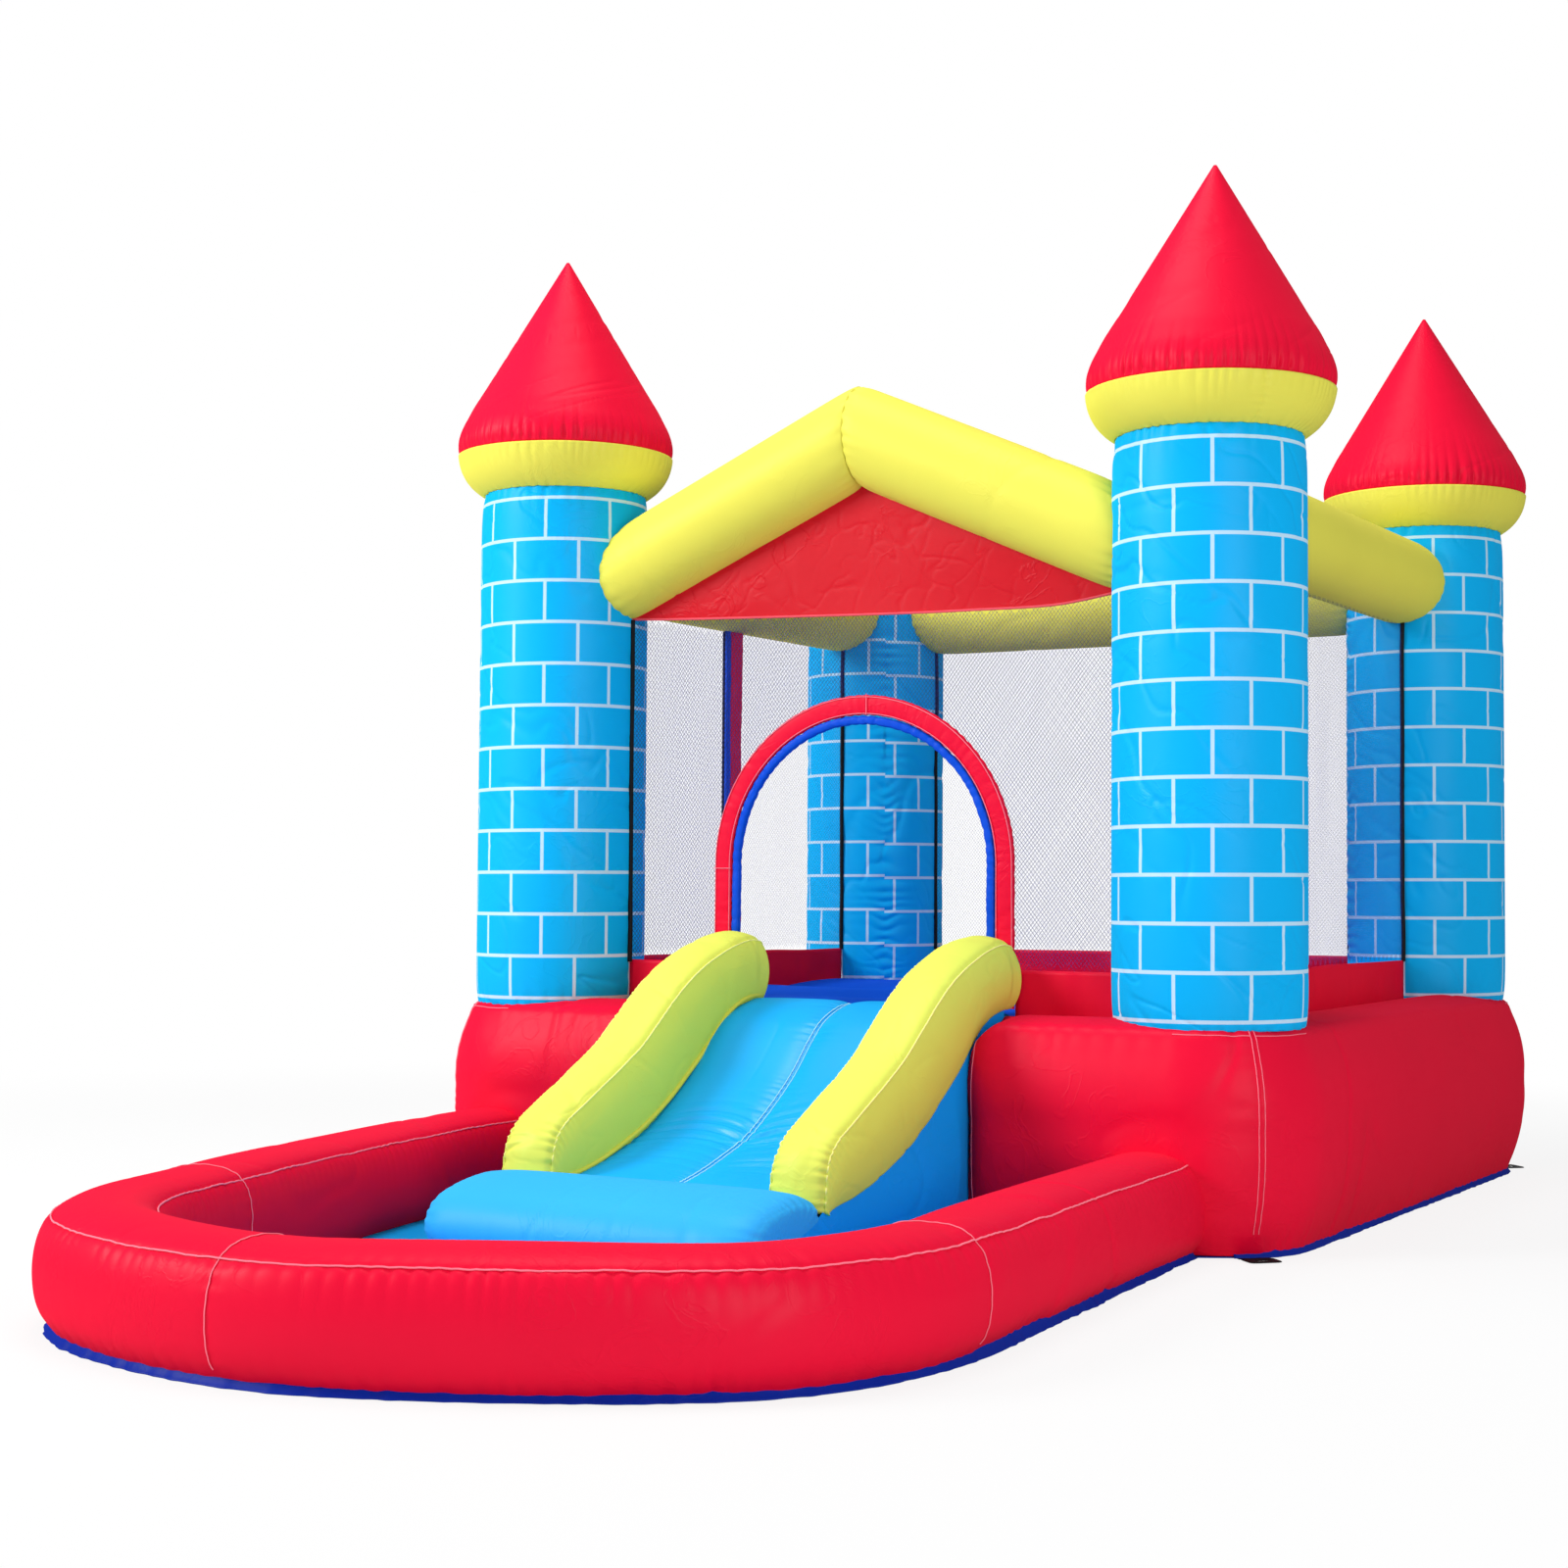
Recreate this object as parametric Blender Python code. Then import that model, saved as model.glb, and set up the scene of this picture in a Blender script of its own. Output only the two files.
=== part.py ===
"""Inflatable bounce house with corner towers, a slide and a splash pool.

Every inflated chamber is the coated cloth that holds it: a thin skin with the
openings the air passes through. Lengths are metres. The house stands on z = 0,
its front looks along -Y, and the front towers stand on the line y = 0 until the
whole house is moved so that the origin is the middle of its footprint.
"""
import math

import bmesh
import bpy
from mathutils import Vector

# Cloth
SKIN = 0.003
SEAM = 0.0003
SHEET = 0.004
CUT_REACH = 0.030

# Towers
TOWER_HALF_SPAN = 0.818
TOWER_DEPTH = 1.578
TOWER_RADIUS = 0.200
TOWER_BOTTOM = 0.442
TOWER_TOP = 1.657
COLLAR_RADIUS = 0.258
COLLAR_TOP = 1.750
COLLAR_BOW = 0.018
CONE_SHOULDER_RADIUS = 0.200
CONE_SHOULDER_Z = 1.903
CONE_TIP_Z = 2.2295
CONE_BOW = 0.012
BACK_LEFT_SAG = 0.035
ROUND_SIDES = 24

# Roof tubes
BEAM_RADIUS = 0.105
BEAM_SIDES = 20
SIDE_BEAM_Z = 1.510
GABLE_PEAK_Z = 1.7335
GABLE_SLOPE = math.radians(23.5)
GABLE_HEM_Z = 1.336

# Base
WALL_FOOT = 0.200
WALL_BULGE = 0.247
WALL_BULGE_Z = 0.245
WALL_LOWER_BOW = 0.010
WALL_UPPER_BOW = 0.012
WALL_CREST = 0.016
FLOOR_RISE = 0.014
FLOOR_CHANNELS = 3
TRIM = 0.014
CORNER_STEPS = 4

# Nets and their red skirts
NET_THICKNESS = 0.004
STRAND = 0.008
NET_PITCH = 0.150
SKIRT_TOP = 0.548
SKIRT_TUCK = 0.008

# Arch doorway
ARCH_RADIUS = 0.380
ARCH_BAND = 0.046
ARCH_PIPING = 0.021
ARCH_SPRING_Z = 0.772
ARCH_THICKNESS = 0.006
ARCH_STEPS = 14

# Side doorway
DOOR_POST_WIDTH = 0.062
DOOR_PIPING_WIDTH = 0.020
DOOR_CLEARANCE = 0.004

# Slide
SLIDE_HALF_WIDTH = 0.370
RAIL_WIDTH = 0.112
RAIL_BULGE = 0.032
RAIL_HEIGHT = 0.168
RAIL_SWELL_RUN = 0.100
RAIL_END_Y = -0.835
RAIL_END_SHARE = 0.86
TOE_BACK_Y = -0.800
TOE_FRONT_Y = -1.085
TOE_HEIGHT = 0.152
TOE_BROW_SETBACK = 0.045
TOE_BROW_SHARE = 0.86
TOE_NOSE_SHARE = 0.45
TOE_FOOT_SETBACK = 0.030
RAMP_LINE = [(0.462, -0.010), (0.455, -0.090), (0.428, -0.165), (0.387, -0.220), (0.307, -0.310),
             (0.214, -0.460), (0.165, -0.600), (0.140, -0.720), (0.133, -0.800)]
RAMP_DRAW_IN = 0.012
RAMP_SEAM_SPREAD = 0.16
RAMP_STEPS = 8

# Pool
RIM_HALF_WIDTH = 0.108
RIM_HEIGHT = 0.208
RIM_SEAM_Z = 0.180
RIM_STEPS = 3
RIM_SLACK = 0.0004
RIM_FOOT_SHARE = 0.80
RIM_FLOOR_SHARE = 0.70
POOL_RIGHT = [(TOWER_HALF_SPAN - 0.051, -0.100), (TOWER_HALF_SPAN - 0.018, -0.500),
              (0.850, -1.100), (0.868, -1.360)]
POOL_FRONT_RIGHT = [(0.868, -1.360), (0.845, -1.560), (0.740, -1.755), (0.450, -1.945), (0.120, -2.045)]
POOL_FRONT_LEFT = [(0.120, -2.045), (-0.260, -1.960), (-0.480, -1.735), (-0.575, -1.450)]
POOL_LEFT = [(-0.575, -1.450), (-0.720, -0.915),
             (0.013 - TOWER_HALF_SPAN, -0.500), (-TOWER_HALF_SPAN - 0.027, -0.100)]
POOL_PIECES = {"right": POOL_RIGHT, "front_right": POOL_FRONT_RIGHT,
               "front_left": POOL_FRONT_LEFT, "left": POOL_LEFT}

# Air inlet, deflation zip and anchor tabs, at the back and the corners
INLET_X = 0.450
INLET_RADIUS = 0.105
INLET_LENGTH = 0.240
STRAP_WIDTH = 0.025
STRAP_THICKNESS = 0.002
ZIP_X = -0.450
ZIP_LENGTH = 0.300
ZIP_HEIGHT = 0.026
ZIP_THICKNESS = 0.002
SLIDER_LENGTH = 0.016
TAB_WIDTH = 0.070
TAB_LENGTH = 0.055
TAB_THICKNESS = 0.0025
TAB_SLOT = (0.030, 0.012)
TAB_SLOT_SHARE = 0.6

COLOURS = {
    "red_cloth": (0.78, 0.010, 0.030, 1.0),
    "yellow_cloth": (0.86, 0.80, 0.045, 1.0),
    "rail_cloth": (0.72, 0.80, 0.060, 1.0),
    "brick_cloth": (0.010, 0.42, 0.86, 1.0),
    "slide_cloth": (0.020, 0.50, 0.92, 1.0),
    "floor_cloth": (0.004, 0.075, 0.62, 1.0),
    "blue_trim": (0.004, 0.035, 0.42, 1.0),
    "black_net": (0.012, 0.012, 0.014, 1.0),
    "black_webbing": (0.010, 0.010, 0.011, 1.0),
}

TOWERS = {
    "front_left": Vector((-TOWER_HALF_SPAN, 0.0, 0.0)),
    "front_right": Vector((TOWER_HALF_SPAN, 0.0, 0.0)),
    "back_right": Vector((TOWER_HALF_SPAN, TOWER_DEPTH, 0.0)),
    "back_left": Vector((-TOWER_HALF_SPAN, TOWER_DEPTH, 0.0)),
}
WALL_INNER = SKIN
CLOTH_Z = SHEET + SEAM


def clear_scene():
    for item in list(bpy.data.objects):
        bpy.data.objects.remove(item, do_unlink=True)


def cloth(name):
    """One finish per cloth, shared by the pieces cut from it."""
    found = bpy.data.materials.get(name)
    if found:
        return found
    finish = bpy.data.materials.new(name)
    finish.use_nodes = True
    shader = finish.node_tree.nodes["Principled BSDF"]
    shader.inputs["Base Color"].default_value = COLOURS[name]
    shader.inputs["Roughness"].default_value = 0.55
    shader.inputs["Metallic"].default_value = 0.0
    return finish


def add_object(name, mesh, finish):
    piece = bpy.data.objects.new(name, mesh)
    bpy.context.scene.collection.objects.link(piece)
    piece.data.materials.append(cloth(finish))
    piece.parent = HOUSE
    mesh.shade_smooth()
    mesh.set_sharp_from_angle(angle=math.radians(40))
    return piece


def grid_mesh(name, rows, wrap=False):
    """A mesh through rows of points, closed round each row when wrap is set."""
    mesh = bpy.data.meshes.new(name)
    count = len(rows[0])
    points = [point for row in rows for point in row]
    faces = []
    for i in range(len(rows) - 1):
        for j in range(count if wrap else count - 1):
            k = (j + 1) % count
            faces.append((i * count + j, i * count + k, (i + 1) * count + k, (i + 1) * count + j))
    mesh.from_pydata(points, [], faces)
    return mesh


def thicken(piece, thickness, offset=-1.0):
    wall = piece.modifiers.new("cloth", "SOLIDIFY")
    wall.thickness = thickness
    wall.offset = offset
    wall.use_even_offset = True
    return piece


def skin(name, rows, finish, wrap=False, offset=-1.0):
    return thicken(add_object(name, grid_mesh(name, rows, wrap), finish), SKIN, offset)


def cut(piece, *cutters):
    for cutter in cutters:
        hole = piece.modifiers.new("cut", "BOOLEAN")
        hole.operation = "DIFFERENCE"
        hole.object = cutter
    return piece


def as_cutter(piece):
    piece.hide_render = True
    piece.display_type = "WIRE"
    return piece


def prism(name, outline, low, high, finish):
    """A straight prism: outline maps a height to the points of that end."""
    mesh = bpy.data.meshes.new(name)
    build = bmesh.new()
    ends = [[build.verts.new(point) for point in outline(level)] for level in (low, high)]
    build.faces.new(list(reversed(ends[0])))
    build.faces.new(ends[1])
    for i in range(len(ends[0])):
        j = (i + 1) % len(ends[0])
        build.faces.new((ends[0][i], ends[0][j], ends[1][j], ends[1][i]))
    bmesh.ops.recalc_face_normals(build, faces=build.faces)
    build.to_mesh(mesh)
    build.free()
    return add_object(name, mesh, finish)


def flat_prism(name, points, low, high, finish):
    """A prism standing on a plan of (x, y) points."""
    return prism(name, lambda z: [(x, y, z) for x, y in points], low, high, finish)


def side_prism(name, points, low, high, finish):
    """A prism along X on a side view of (y, z) points."""
    return prism(name, lambda x: [(x, y, z) for y, z in points], low, high, finish)


def front_prism(name, points, low, high, finish):
    """A prism along Y on a front view of (x, z) points."""
    return prism(name, lambda y: [(x, y, z) for x, z in points], low, high, finish)


def turned(name, axis, profile, finish):
    """A skin of revolution about a tower's axis from (radius, z) points, top first."""
    rows = []
    for radius, z in profile:
        angles = [2 * math.pi * j / ROUND_SIDES for j in range(ROUND_SIDES)]
        rows.append([axis + Vector((radius * math.cos(a), radius * math.sin(a), z)) for a in angles])
    return skin(name, rows, finish, wrap=True, offset=1.0)


def arc_between(start, end, bulge, steps):
    """Points from start to end, bowed to the left of the way by bulge."""
    across = Vector((start[1] - end[1], end[0] - start[0])).normalized()
    points = []
    for i in range(steps + 1):
        t = i / steps
        lift = bulge * 4 * t * (1 - t)
        points.append((start[0] + (end[0] - start[0]) * t + across.x * lift,
                       start[1] + (end[1] - start[1]) * t + across.y * lift))
    return points


def smooth_line(points, steps):
    """Points of a smooth curve through the given ones."""
    line = [Vector(point) for point in points]
    ends = [2 * line[0] - line[1]] + line + [2 * line[-1] - line[-2]]
    result = []
    for i in range(1, len(ends) - 2):
        a, b, c, d = ends[i - 1:i + 3]
        for k in range(steps):
            t = k / steps
            result.append(0.5 * (2 * b + (c - a) * t + (2 * a - 5 * b + 4 * c - d) * t * t
                                 + (3 * b - a - 3 * c + d) * t ** 3))
    return result + [line[-1]]


def tower_cutters():
    """The space each tower takes, with its seam."""
    cutters = []
    for name, axis in TOWERS.items():
        ring = [2 * math.pi * j / ROUND_SIDES for j in range(ROUND_SIDES)]
        reach = TOWER_RADIUS + SEAM
        plan = [(axis.x + reach * math.cos(a), axis.y + reach * math.sin(a)) for a in ring]
        low = TOWER_BOTTOM - CUT_REACH
        cutters.append(as_cutter(flat_prism("space_" + name, plan, low, CONE_TIP_Z, "red_cloth")))
    return cutters


def make_towers():
    for name, axis in TOWERS.items():
        foot = TOWER_BOTTOM + SEAM
        turned("tower_" + name, axis, [(TOWER_RADIUS, TOWER_TOP - SEAM), (TOWER_RADIUS, foot)], "brick_cloth")
        collar = arc_between((COLLAR_RADIUS, COLLAR_TOP - SEAM), (TOWER_RADIUS, TOWER_TOP), COLLAR_BOW, 4)
        turned("collar_" + name, axis, collar, "yellow_cloth")
        shoulder = (CONE_SHOULDER_RADIUS, CONE_SHOULDER_Z)
        tip = CONE_TIP_Z - (BACK_LEFT_SAG if name == "back_left" else 0)
        cone = [(SKIN, tip), shoulder]
        cone += arc_between(shoulder, (COLLAR_RADIUS, COLLAR_TOP + SKIN / 2), CONE_BOW, 3)[1:]
        turned("roof_" + name, axis, cone, "red_cloth")


def beam(name, start, end, plane_axis, finish, cutters):
    """A roof tube whose ends are cut square to one world axis."""
    along = (end - start).normalized()
    side = along.cross(Vector((0, 0, 1))).normalized()
    up = side.cross(along)
    rows = []
    for centre in (start, end):
        row = []
        for j in range(BEAM_SIDES):
            a = 2 * math.pi * j / BEAM_SIDES
            spoke = BEAM_RADIUS * (math.cos(a) * side + math.sin(a) * up)
            shift = -spoke[plane_axis] / along[plane_axis]
            row.append(centre + spoke + shift * along)
        rows.append(row)
    return cut(skin(name, rows, finish, wrap=True, offset=1.0), *cutters)


def gable_z(x):
    return GABLE_PEAK_Z - abs(x) * math.tan(GABLE_SLOPE)


def make_roof(cutters):
    for side, name in ((-1, "left"), (1, "right")):
        x = side * TOWER_HALF_SPAN
        start = Vector((x, 0, gable_z(x)))
        stop = SEAM / 2 + SKIN * math.sin(GABLE_SLOPE)
        end = Vector((side * stop, 0, gable_z(stop)))
        beam("gable_beam_" + name, start, end, 0, "yellow_cloth", cutters)
        near = Vector((x, 0, SIDE_BEAM_Z))
        far = Vector((x, TOWER_DEPTH, SIDE_BEAM_Z))
        beam("roof_beam_" + name, near, far, 1, "yellow_cloth", cutters)
    left = Vector((-TOWER_HALF_SPAN, TOWER_DEPTH, SIDE_BEAM_Z))
    right = Vector((TOWER_HALF_SPAN, TOWER_DEPTH, SIDE_BEAM_Z))
    beam("roof_beam_back", left, right, 0, "yellow_cloth", cutters)
    under = BEAM_RADIUS / math.cos(GABLE_SLOPE) + SEAM
    reach = TOWER_HALF_SPAN - TOWER_RADIUS - SEAM
    edge = gable_z(reach) - under
    peak = GABLE_PEAK_Z - under
    points = [(-reach, GABLE_HEM_Z), (reach, GABLE_HEM_Z), (reach, edge), (0, peak), (-reach, edge)]
    front_prism("gable_panel", points, -SKIN / 2, SKIN / 2, "red_cloth")


def wall_profile():
    """Outward reach and height of a base wall, from its foot to its inner edge."""
    lower = arc_between((WALL_FOOT, CLOTH_Z), (WALL_BULGE, WALL_BULGE_Z), -WALL_LOWER_BOW, 3)
    upper = arc_between((WALL_BULGE, WALL_BULGE_Z), (TOWER_RADIUS, TOWER_BOTTOM), -WALL_UPPER_BOW, 4)
    top = arc_between((TOWER_RADIUS, TOWER_BOTTOM), (WALL_INNER, TOWER_BOTTOM + SKIN), -WALL_CREST, 4)
    return lower + upper[1:] + top[1:]


def wall_station(centre, angle, profile):
    out = Vector((math.cos(angle), math.sin(angle), 0))
    return [centre + out * reach + Vector((0, 0, z)) for reach, z in profile]


def corner_stations(centre, start, end, profile):
    angles = [math.radians(start + (end - start) * i / CORNER_STEPS) for i in range(CORNER_STEPS + 1)]
    return [wall_station(centre, angle, profile) for angle in angles]


def make_base(cutters):
    profile = wall_profile()
    lean = math.radians(45 / CORNER_STEPS) / 2
    slack = math.degrees((SEAM / 2 + SKIN * math.sin(lean)) / TOWER_RADIUS)
    stop = SLIDE_HALF_WIDTH + SEAM
    run = {
        "left": [("back_left", 135, 180), ("front_left", 180, 225)],
        "right": [("front_right", -45, 0), ("back_right", 0, 45)],
        "back": [("back_right", 45, 90), ("back_left", 90, 135)],
        "front_left": [("front_left", 225, 270)],
        "front_right": [("front_right", 270, 315)],
    }
    walls = {}
    for name, corners in run.items():
        rows = []
        for corner, start, end in corners:
            first = start + slack if (start / 45) % 2 else start
            last = end - slack if (end / 45) % 2 else end
            rows += corner_stations(TOWERS[corner], first, last, profile)
        if name == "front_left":
            rows.append(wall_station(Vector((-stop, 0, 0)), math.radians(270), profile))
        if name == "front_right":
            rows.insert(0, wall_station(Vector((stop, 0, 0)), math.radians(270), profile))
        walls[name] = cut(skin("base_wall_" + name, rows, "red_cloth", offset=1.0), *cutters)
    inlet = inlet_tube("inlet_hole", INLET_RADIUS + SEAM, TOWER_DEPTH, WALL_BULGE + INLET_LENGTH)
    cut(walls["back"], as_cutter(inlet))
    rim = TOWER_HALF_SPAN
    floor_edge = WALL_INNER
    rows = []
    steps = 4 * FLOOR_CHANNELS
    for i in range(steps + 1):
        y = floor_edge + (TOWER_DEPTH - 2 * floor_edge) * i / steps
        z = TOWER_BOTTOM + SKIN + FLOOR_RISE * abs(math.sin(math.pi * FLOOR_CHANNELS * i / steps))
        rows.append([Vector((x, y, z)) for x in (floor_edge - rim, rim - floor_edge)])
    cut(skin("bounce_floor", rows, "floor_cloth"), *cutters)
    make_baffles()


def make_baffles():
    """Upright sheets inside the base, one under each valley of the floor."""
    top = TOWER_BOTTOM - SEAM
    reach = TOWER_HALF_SPAN - WALL_INNER
    for i in range(1, FLOOR_CHANNELS):
        y = WALL_INNER + (TOWER_DEPTH - 2 * WALL_INNER) * i / FLOOR_CHANNELS
        sheet = [(-reach, CLOTH_Z), (reach, CLOTH_Z), (reach, top), (-reach, top)]
        front_prism(f"floor_baffle_{i}", sheet, y - SKIN / 2, y + SKIN / 2, "floor_cloth")


def rounded_plan(reach):
    """The base's plan with its four rounded corners."""
    points = []
    for corner, start in (("front_right", -90), ("back_right", 0), ("back_left", 90), ("front_left", 180)):
        for i in range(2 * CORNER_STEPS + 1):
            a = math.radians(start + 90 * i / (2 * CORNER_STEPS))
            centre = TOWERS[corner]
            points.append((centre.x + reach * math.cos(a), centre.y + reach * math.sin(a)))
    return points


def base_cutter():
    """The space the base takes, so that the pool's ends close on its bulged wall."""
    profile = [(reach + 2 * SEAM, z) for reach, z in wall_profile() if reach >= TOWER_RADIUS]
    profile = [(WALL_FOOT, -SHEET)] + profile
    rings = [[Vector((x, y, z)) for x, y in rounded_plan(reach)] for reach, z in profile]
    mesh = grid_mesh("base_space", rings, wrap=True)
    build = bmesh.new()
    build.from_mesh(mesh)
    bmesh.ops.holes_fill(build, edges=build.edges)
    bmesh.ops.recalc_face_normals(build, faces=build.faces)
    build.to_mesh(mesh)
    build.free()
    return as_cutter(add_object("base_space", mesh, "red_cloth"))


def lattice(name, low, high, place, finish):
    """A flat net of strands between two corners of its own plane."""
    lines = []
    for start, end in zip(low, high):
        gaps = max(2, round((end - start) / NET_PITCH))
        pitch = (end - start - STRAND) / gaps
        lines.append([start + pitch * i + side for i in range(gaps + 1) for side in (0, STRAND)])
    across, upward = lines
    build = bmesh.new()
    dots = [[build.verts.new(place(u, v)) for v in upward] for u in across]
    for i in range(len(across) - 1):
        for j in range(len(upward) - 1):
            if i % 2 == 0 or j % 2 == 0:
                build.faces.new((dots[i][j], dots[i + 1][j], dots[i + 1][j + 1], dots[i][j + 1]))
    mesh = bpy.data.meshes.new(name)
    build.to_mesh(mesh)
    build.free()
    return thicken(add_object(name, mesh, finish), NET_THICKNESS, 0.0)


def arch_outline(radius, foot, steps=ARCH_STEPS):
    """Front view of the doorway at one radius, from its right foot to its left."""
    points = [(radius, foot)]
    for i in range(steps + 1):
        a = math.pi * i / steps
        points.append((radius * math.cos(a), ARCH_SPRING_Z + radius * math.sin(a)))
    return points + [(-radius, foot)]


def arch_band(name, outer, inner, thickness, finish):
    foot = TOWER_BOTTOM + WALL_CREST + 2 * SKIN
    points = arch_outline(outer, foot) + list(reversed(arch_outline(inner, foot)))
    return front_prism(name, points, -thickness / 2, thickness / 2, finish)


def make_front_net():
    reach = TOWER_HALF_SPAN - TOWER_RADIUS - SEAM
    net = lattice("front_net", (-reach, SKIRT_TOP + SEAM), (reach, GABLE_HEM_Z - SEAM),
                  lambda u, v: (u, 0, v), "black_net")
    doorway = front_prism("doorway", arch_outline(ARCH_RADIUS + SEAM, TOWER_BOTTOM),
                          -CUT_REACH, CUT_REACH, "red_cloth")
    cut(net, as_cutter(doorway))
    band_edge = ARCH_RADIUS - ARCH_BAND
    arch_band("arch_trim", ARCH_RADIUS, band_edge, ARCH_THICKNESS, "red_cloth")
    arch_band("arch_piping", band_edge - SEAM, band_edge - ARCH_PIPING, 2 * ARCH_THICKNESS, "blue_trim")


def make_side_nets():
    near = TOWER_RADIUS + SEAM
    far = TOWER_DEPTH - TOWER_RADIUS - SEAM
    top = SIDE_BEAM_Z - BEAM_RADIUS - SEAM
    low = SKIRT_TOP + SEAM
    span = TOWER_HALF_SPAN
    lattice("right_net", (near, low), (far, top), lambda u, v: (span, u, v), "black_net")
    reach = TOWER_HALF_SPAN - near
    lattice("back_net", (-reach, low), (reach, top), lambda u, v: (u, TOWER_DEPTH, v), "black_net")
    post_far = TOWER_DEPTH / 2 + DOOR_POST_WIDTH / 2
    post_near = post_far - DOOR_POST_WIDTH
    lattice("left_net", (post_far + SEAM, low), (far, top), lambda u, v: (-span, u, v), "black_net")
    half = ARCH_THICKNESS / 2
    post = [(post_near, low), (post_far, low), (post_far, top), (post_near, top)]
    side_prism("side_door_post", post, -span - half, half - span, "red_cloth")
    piping_near = post_near - SEAM - DOOR_PIPING_WIDTH
    piping_far = post_near - SEAM
    piping = [(piping_near, low), (piping_far, low), (piping_far, top), (piping_near, top)]
    side_prism("side_door_piping", piping, -span - 2 * half, 2 * half - span, "blue_trim")
    door_low = low + DOOR_CLEARANCE
    door_top = top - DOOR_CLEARANCE
    leaf = NET_THICKNESS / 2
    door = lattice("side_door_net", (0, door_low), (piping_near - DOOR_CLEARANCE - near, door_top),
                   lambda u, v: (leaf, u, v), "black_net")
    door.location = (-span - leaf, near, 0)


def make_skirts():
    """Red bands that join the nets to the base."""
    foot = TOWER_BOTTOM + SKIN - SKIRT_TUCK
    half = SKIN / 2
    near = TOWER_RADIUS + SEAM
    far = TOWER_DEPTH - near
    reach = TOWER_HALF_SPAN - near
    for side, name in ((-1, "left"), (1, "right")):
        x = side * TOWER_HALF_SPAN
        band = [(near, foot), (far, foot), (far, SKIRT_TOP), (near, SKIRT_TOP)]
        side_prism("skirt_" + name, band, x - half, x + half, "red_cloth")
        inner = side * (ARCH_RADIUS + SEAM)
        outer = side * reach
        band = [(inner, foot), (outer, foot), (outer, SKIRT_TOP), (inner, SKIRT_TOP)]
        front_prism("skirt_front_" + name, band, -half, half, "red_cloth")
    band = [(-reach, foot), (reach, foot), (reach, SKIRT_TOP), (-reach, SKIRT_TOP)]
    front_prism("skirt_back", band, TOWER_DEPTH - half, TOWER_DEPTH + half, "red_cloth")


def ramp_points():
    return [(y, z) for z, y in RAMP_LINE]


def toe_points():
    """Side view of the landing cushion, from the ramp to the pool floor."""
    start = (TOE_BACK_Y - SEAM, ramp_points()[-1][1])
    crown = ((TOE_BACK_Y + TOE_FRONT_Y) / 2, TOE_HEIGHT)
    brow = (TOE_FRONT_Y + TOE_BROW_SETBACK, TOE_HEIGHT * TOE_BROW_SHARE)
    nose = (TOE_FRONT_Y, TOE_HEIGHT * TOE_NOSE_SHARE)
    foot = (TOE_FRONT_Y + TOE_FOOT_SETBACK, CLOTH_Z)
    return [start, crown, brow, nose, foot]


def make_slide():
    inner = SLIDE_HALF_WIDTH - RAIL_WIDTH - SEAM
    rows = []
    for y, z in ramp_points():
        row = []
        for i in range(RAMP_STEPS + 1):
            t = -1 + 2 * i / RAMP_STEPS
            dip = RAMP_DRAW_IN * (math.exp(-(t / RAMP_SEAM_SPREAD) ** 2) + t ** 4)
            row.append(Vector((t * inner, y, z + RAMP_DRAW_IN - dip)))
        rows.append(row)
    skin("slide_ramp", rows, "slide_cloth", offset=1.0)
    toe_half = SLIDE_HALF_WIDTH - SKIN - SEAM
    rows = [[Vector((x, y, z)) for x in (-toe_half, 0, toe_half)] for y, z in toe_points()]
    skin("slide_toe", rows, "slide_cloth", offset=1.0)
    top = [(y, z - SKIN - SEAM) for y, z in ramp_points()] + toe_points()[1:]
    back = ramp_points()[0][0]
    outline = top + [(back, CLOTH_Z)]
    for side, name in ((-1, "left"), (1, "right")):
        edge = side * SLIDE_HALF_WIDTH
        low, high = sorted((edge, edge - side * SKIN))
        side_prism("slide_side_" + name, outline, low, high, "slide_cloth")
        make_rail("slide_rail_" + name, side)


def rail_section(swell):
    """A rail's cut: share of its half width and of its height, from its inner foot to its outer one."""
    return [(-1.0, 0.0), (-1.0 - 0.5 * swell, 0.30), (-1.0 - 0.3 * swell, 0.75), (-0.72, 0.97), (0.0, 1.06),
            (0.72, 0.97), (1.0 + 0.8 * swell, 0.75), (1.0 + swell, 0.30), (1.0, 0.0)]


def make_rail(name, side):
    """A padded rail: a round-topped hood along the ramp, open to the slide below."""
    half = RAIL_WIDTH / 2
    middle = SLIDE_HALF_WIDTH - half
    path = [Vector((y, z + RAMP_DRAW_IN + SEAM)) for y, z in ramp_points() if y > RAIL_END_Y]
    path[0].x = -ARCH_THICKNESS - SEAM
    path.append(Vector((RAIL_END_Y, path[-1].y)))
    path = smooth_line(path, 2)
    last = len(path) - 1
    stations = [(0, 0.0)] + [(i, 1.0) for i in range(last)] + [(last, RAIL_END_SHARE), (last, 0.0)]
    rows = []
    for i, tall in stations:
        lean = (path[max(0, i - 1)] - path[min(last, i + 1)]).normalized()
        up = Vector((-lean.y, lean.x)) if 0 < i < last else Vector((0.0, 1.0))
        past_wall = (-path[i].x - TOWER_RADIUS) / RAIL_SWELL_RUN
        swell = RAIL_BULGE / half * max(0.0, min(1.0, past_wall)) * tall
        row = []
        for across, rise in rail_section(swell):
            spot = path[i] + up * (rise * RAIL_HEIGHT * tall)
            row.append(Vector((side * (middle + half * across), min(spot.x, path[0].x), spot.y)))
        rows.append(row)
    skin(name, rows, "rail_cloth", offset=float(side))


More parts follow.
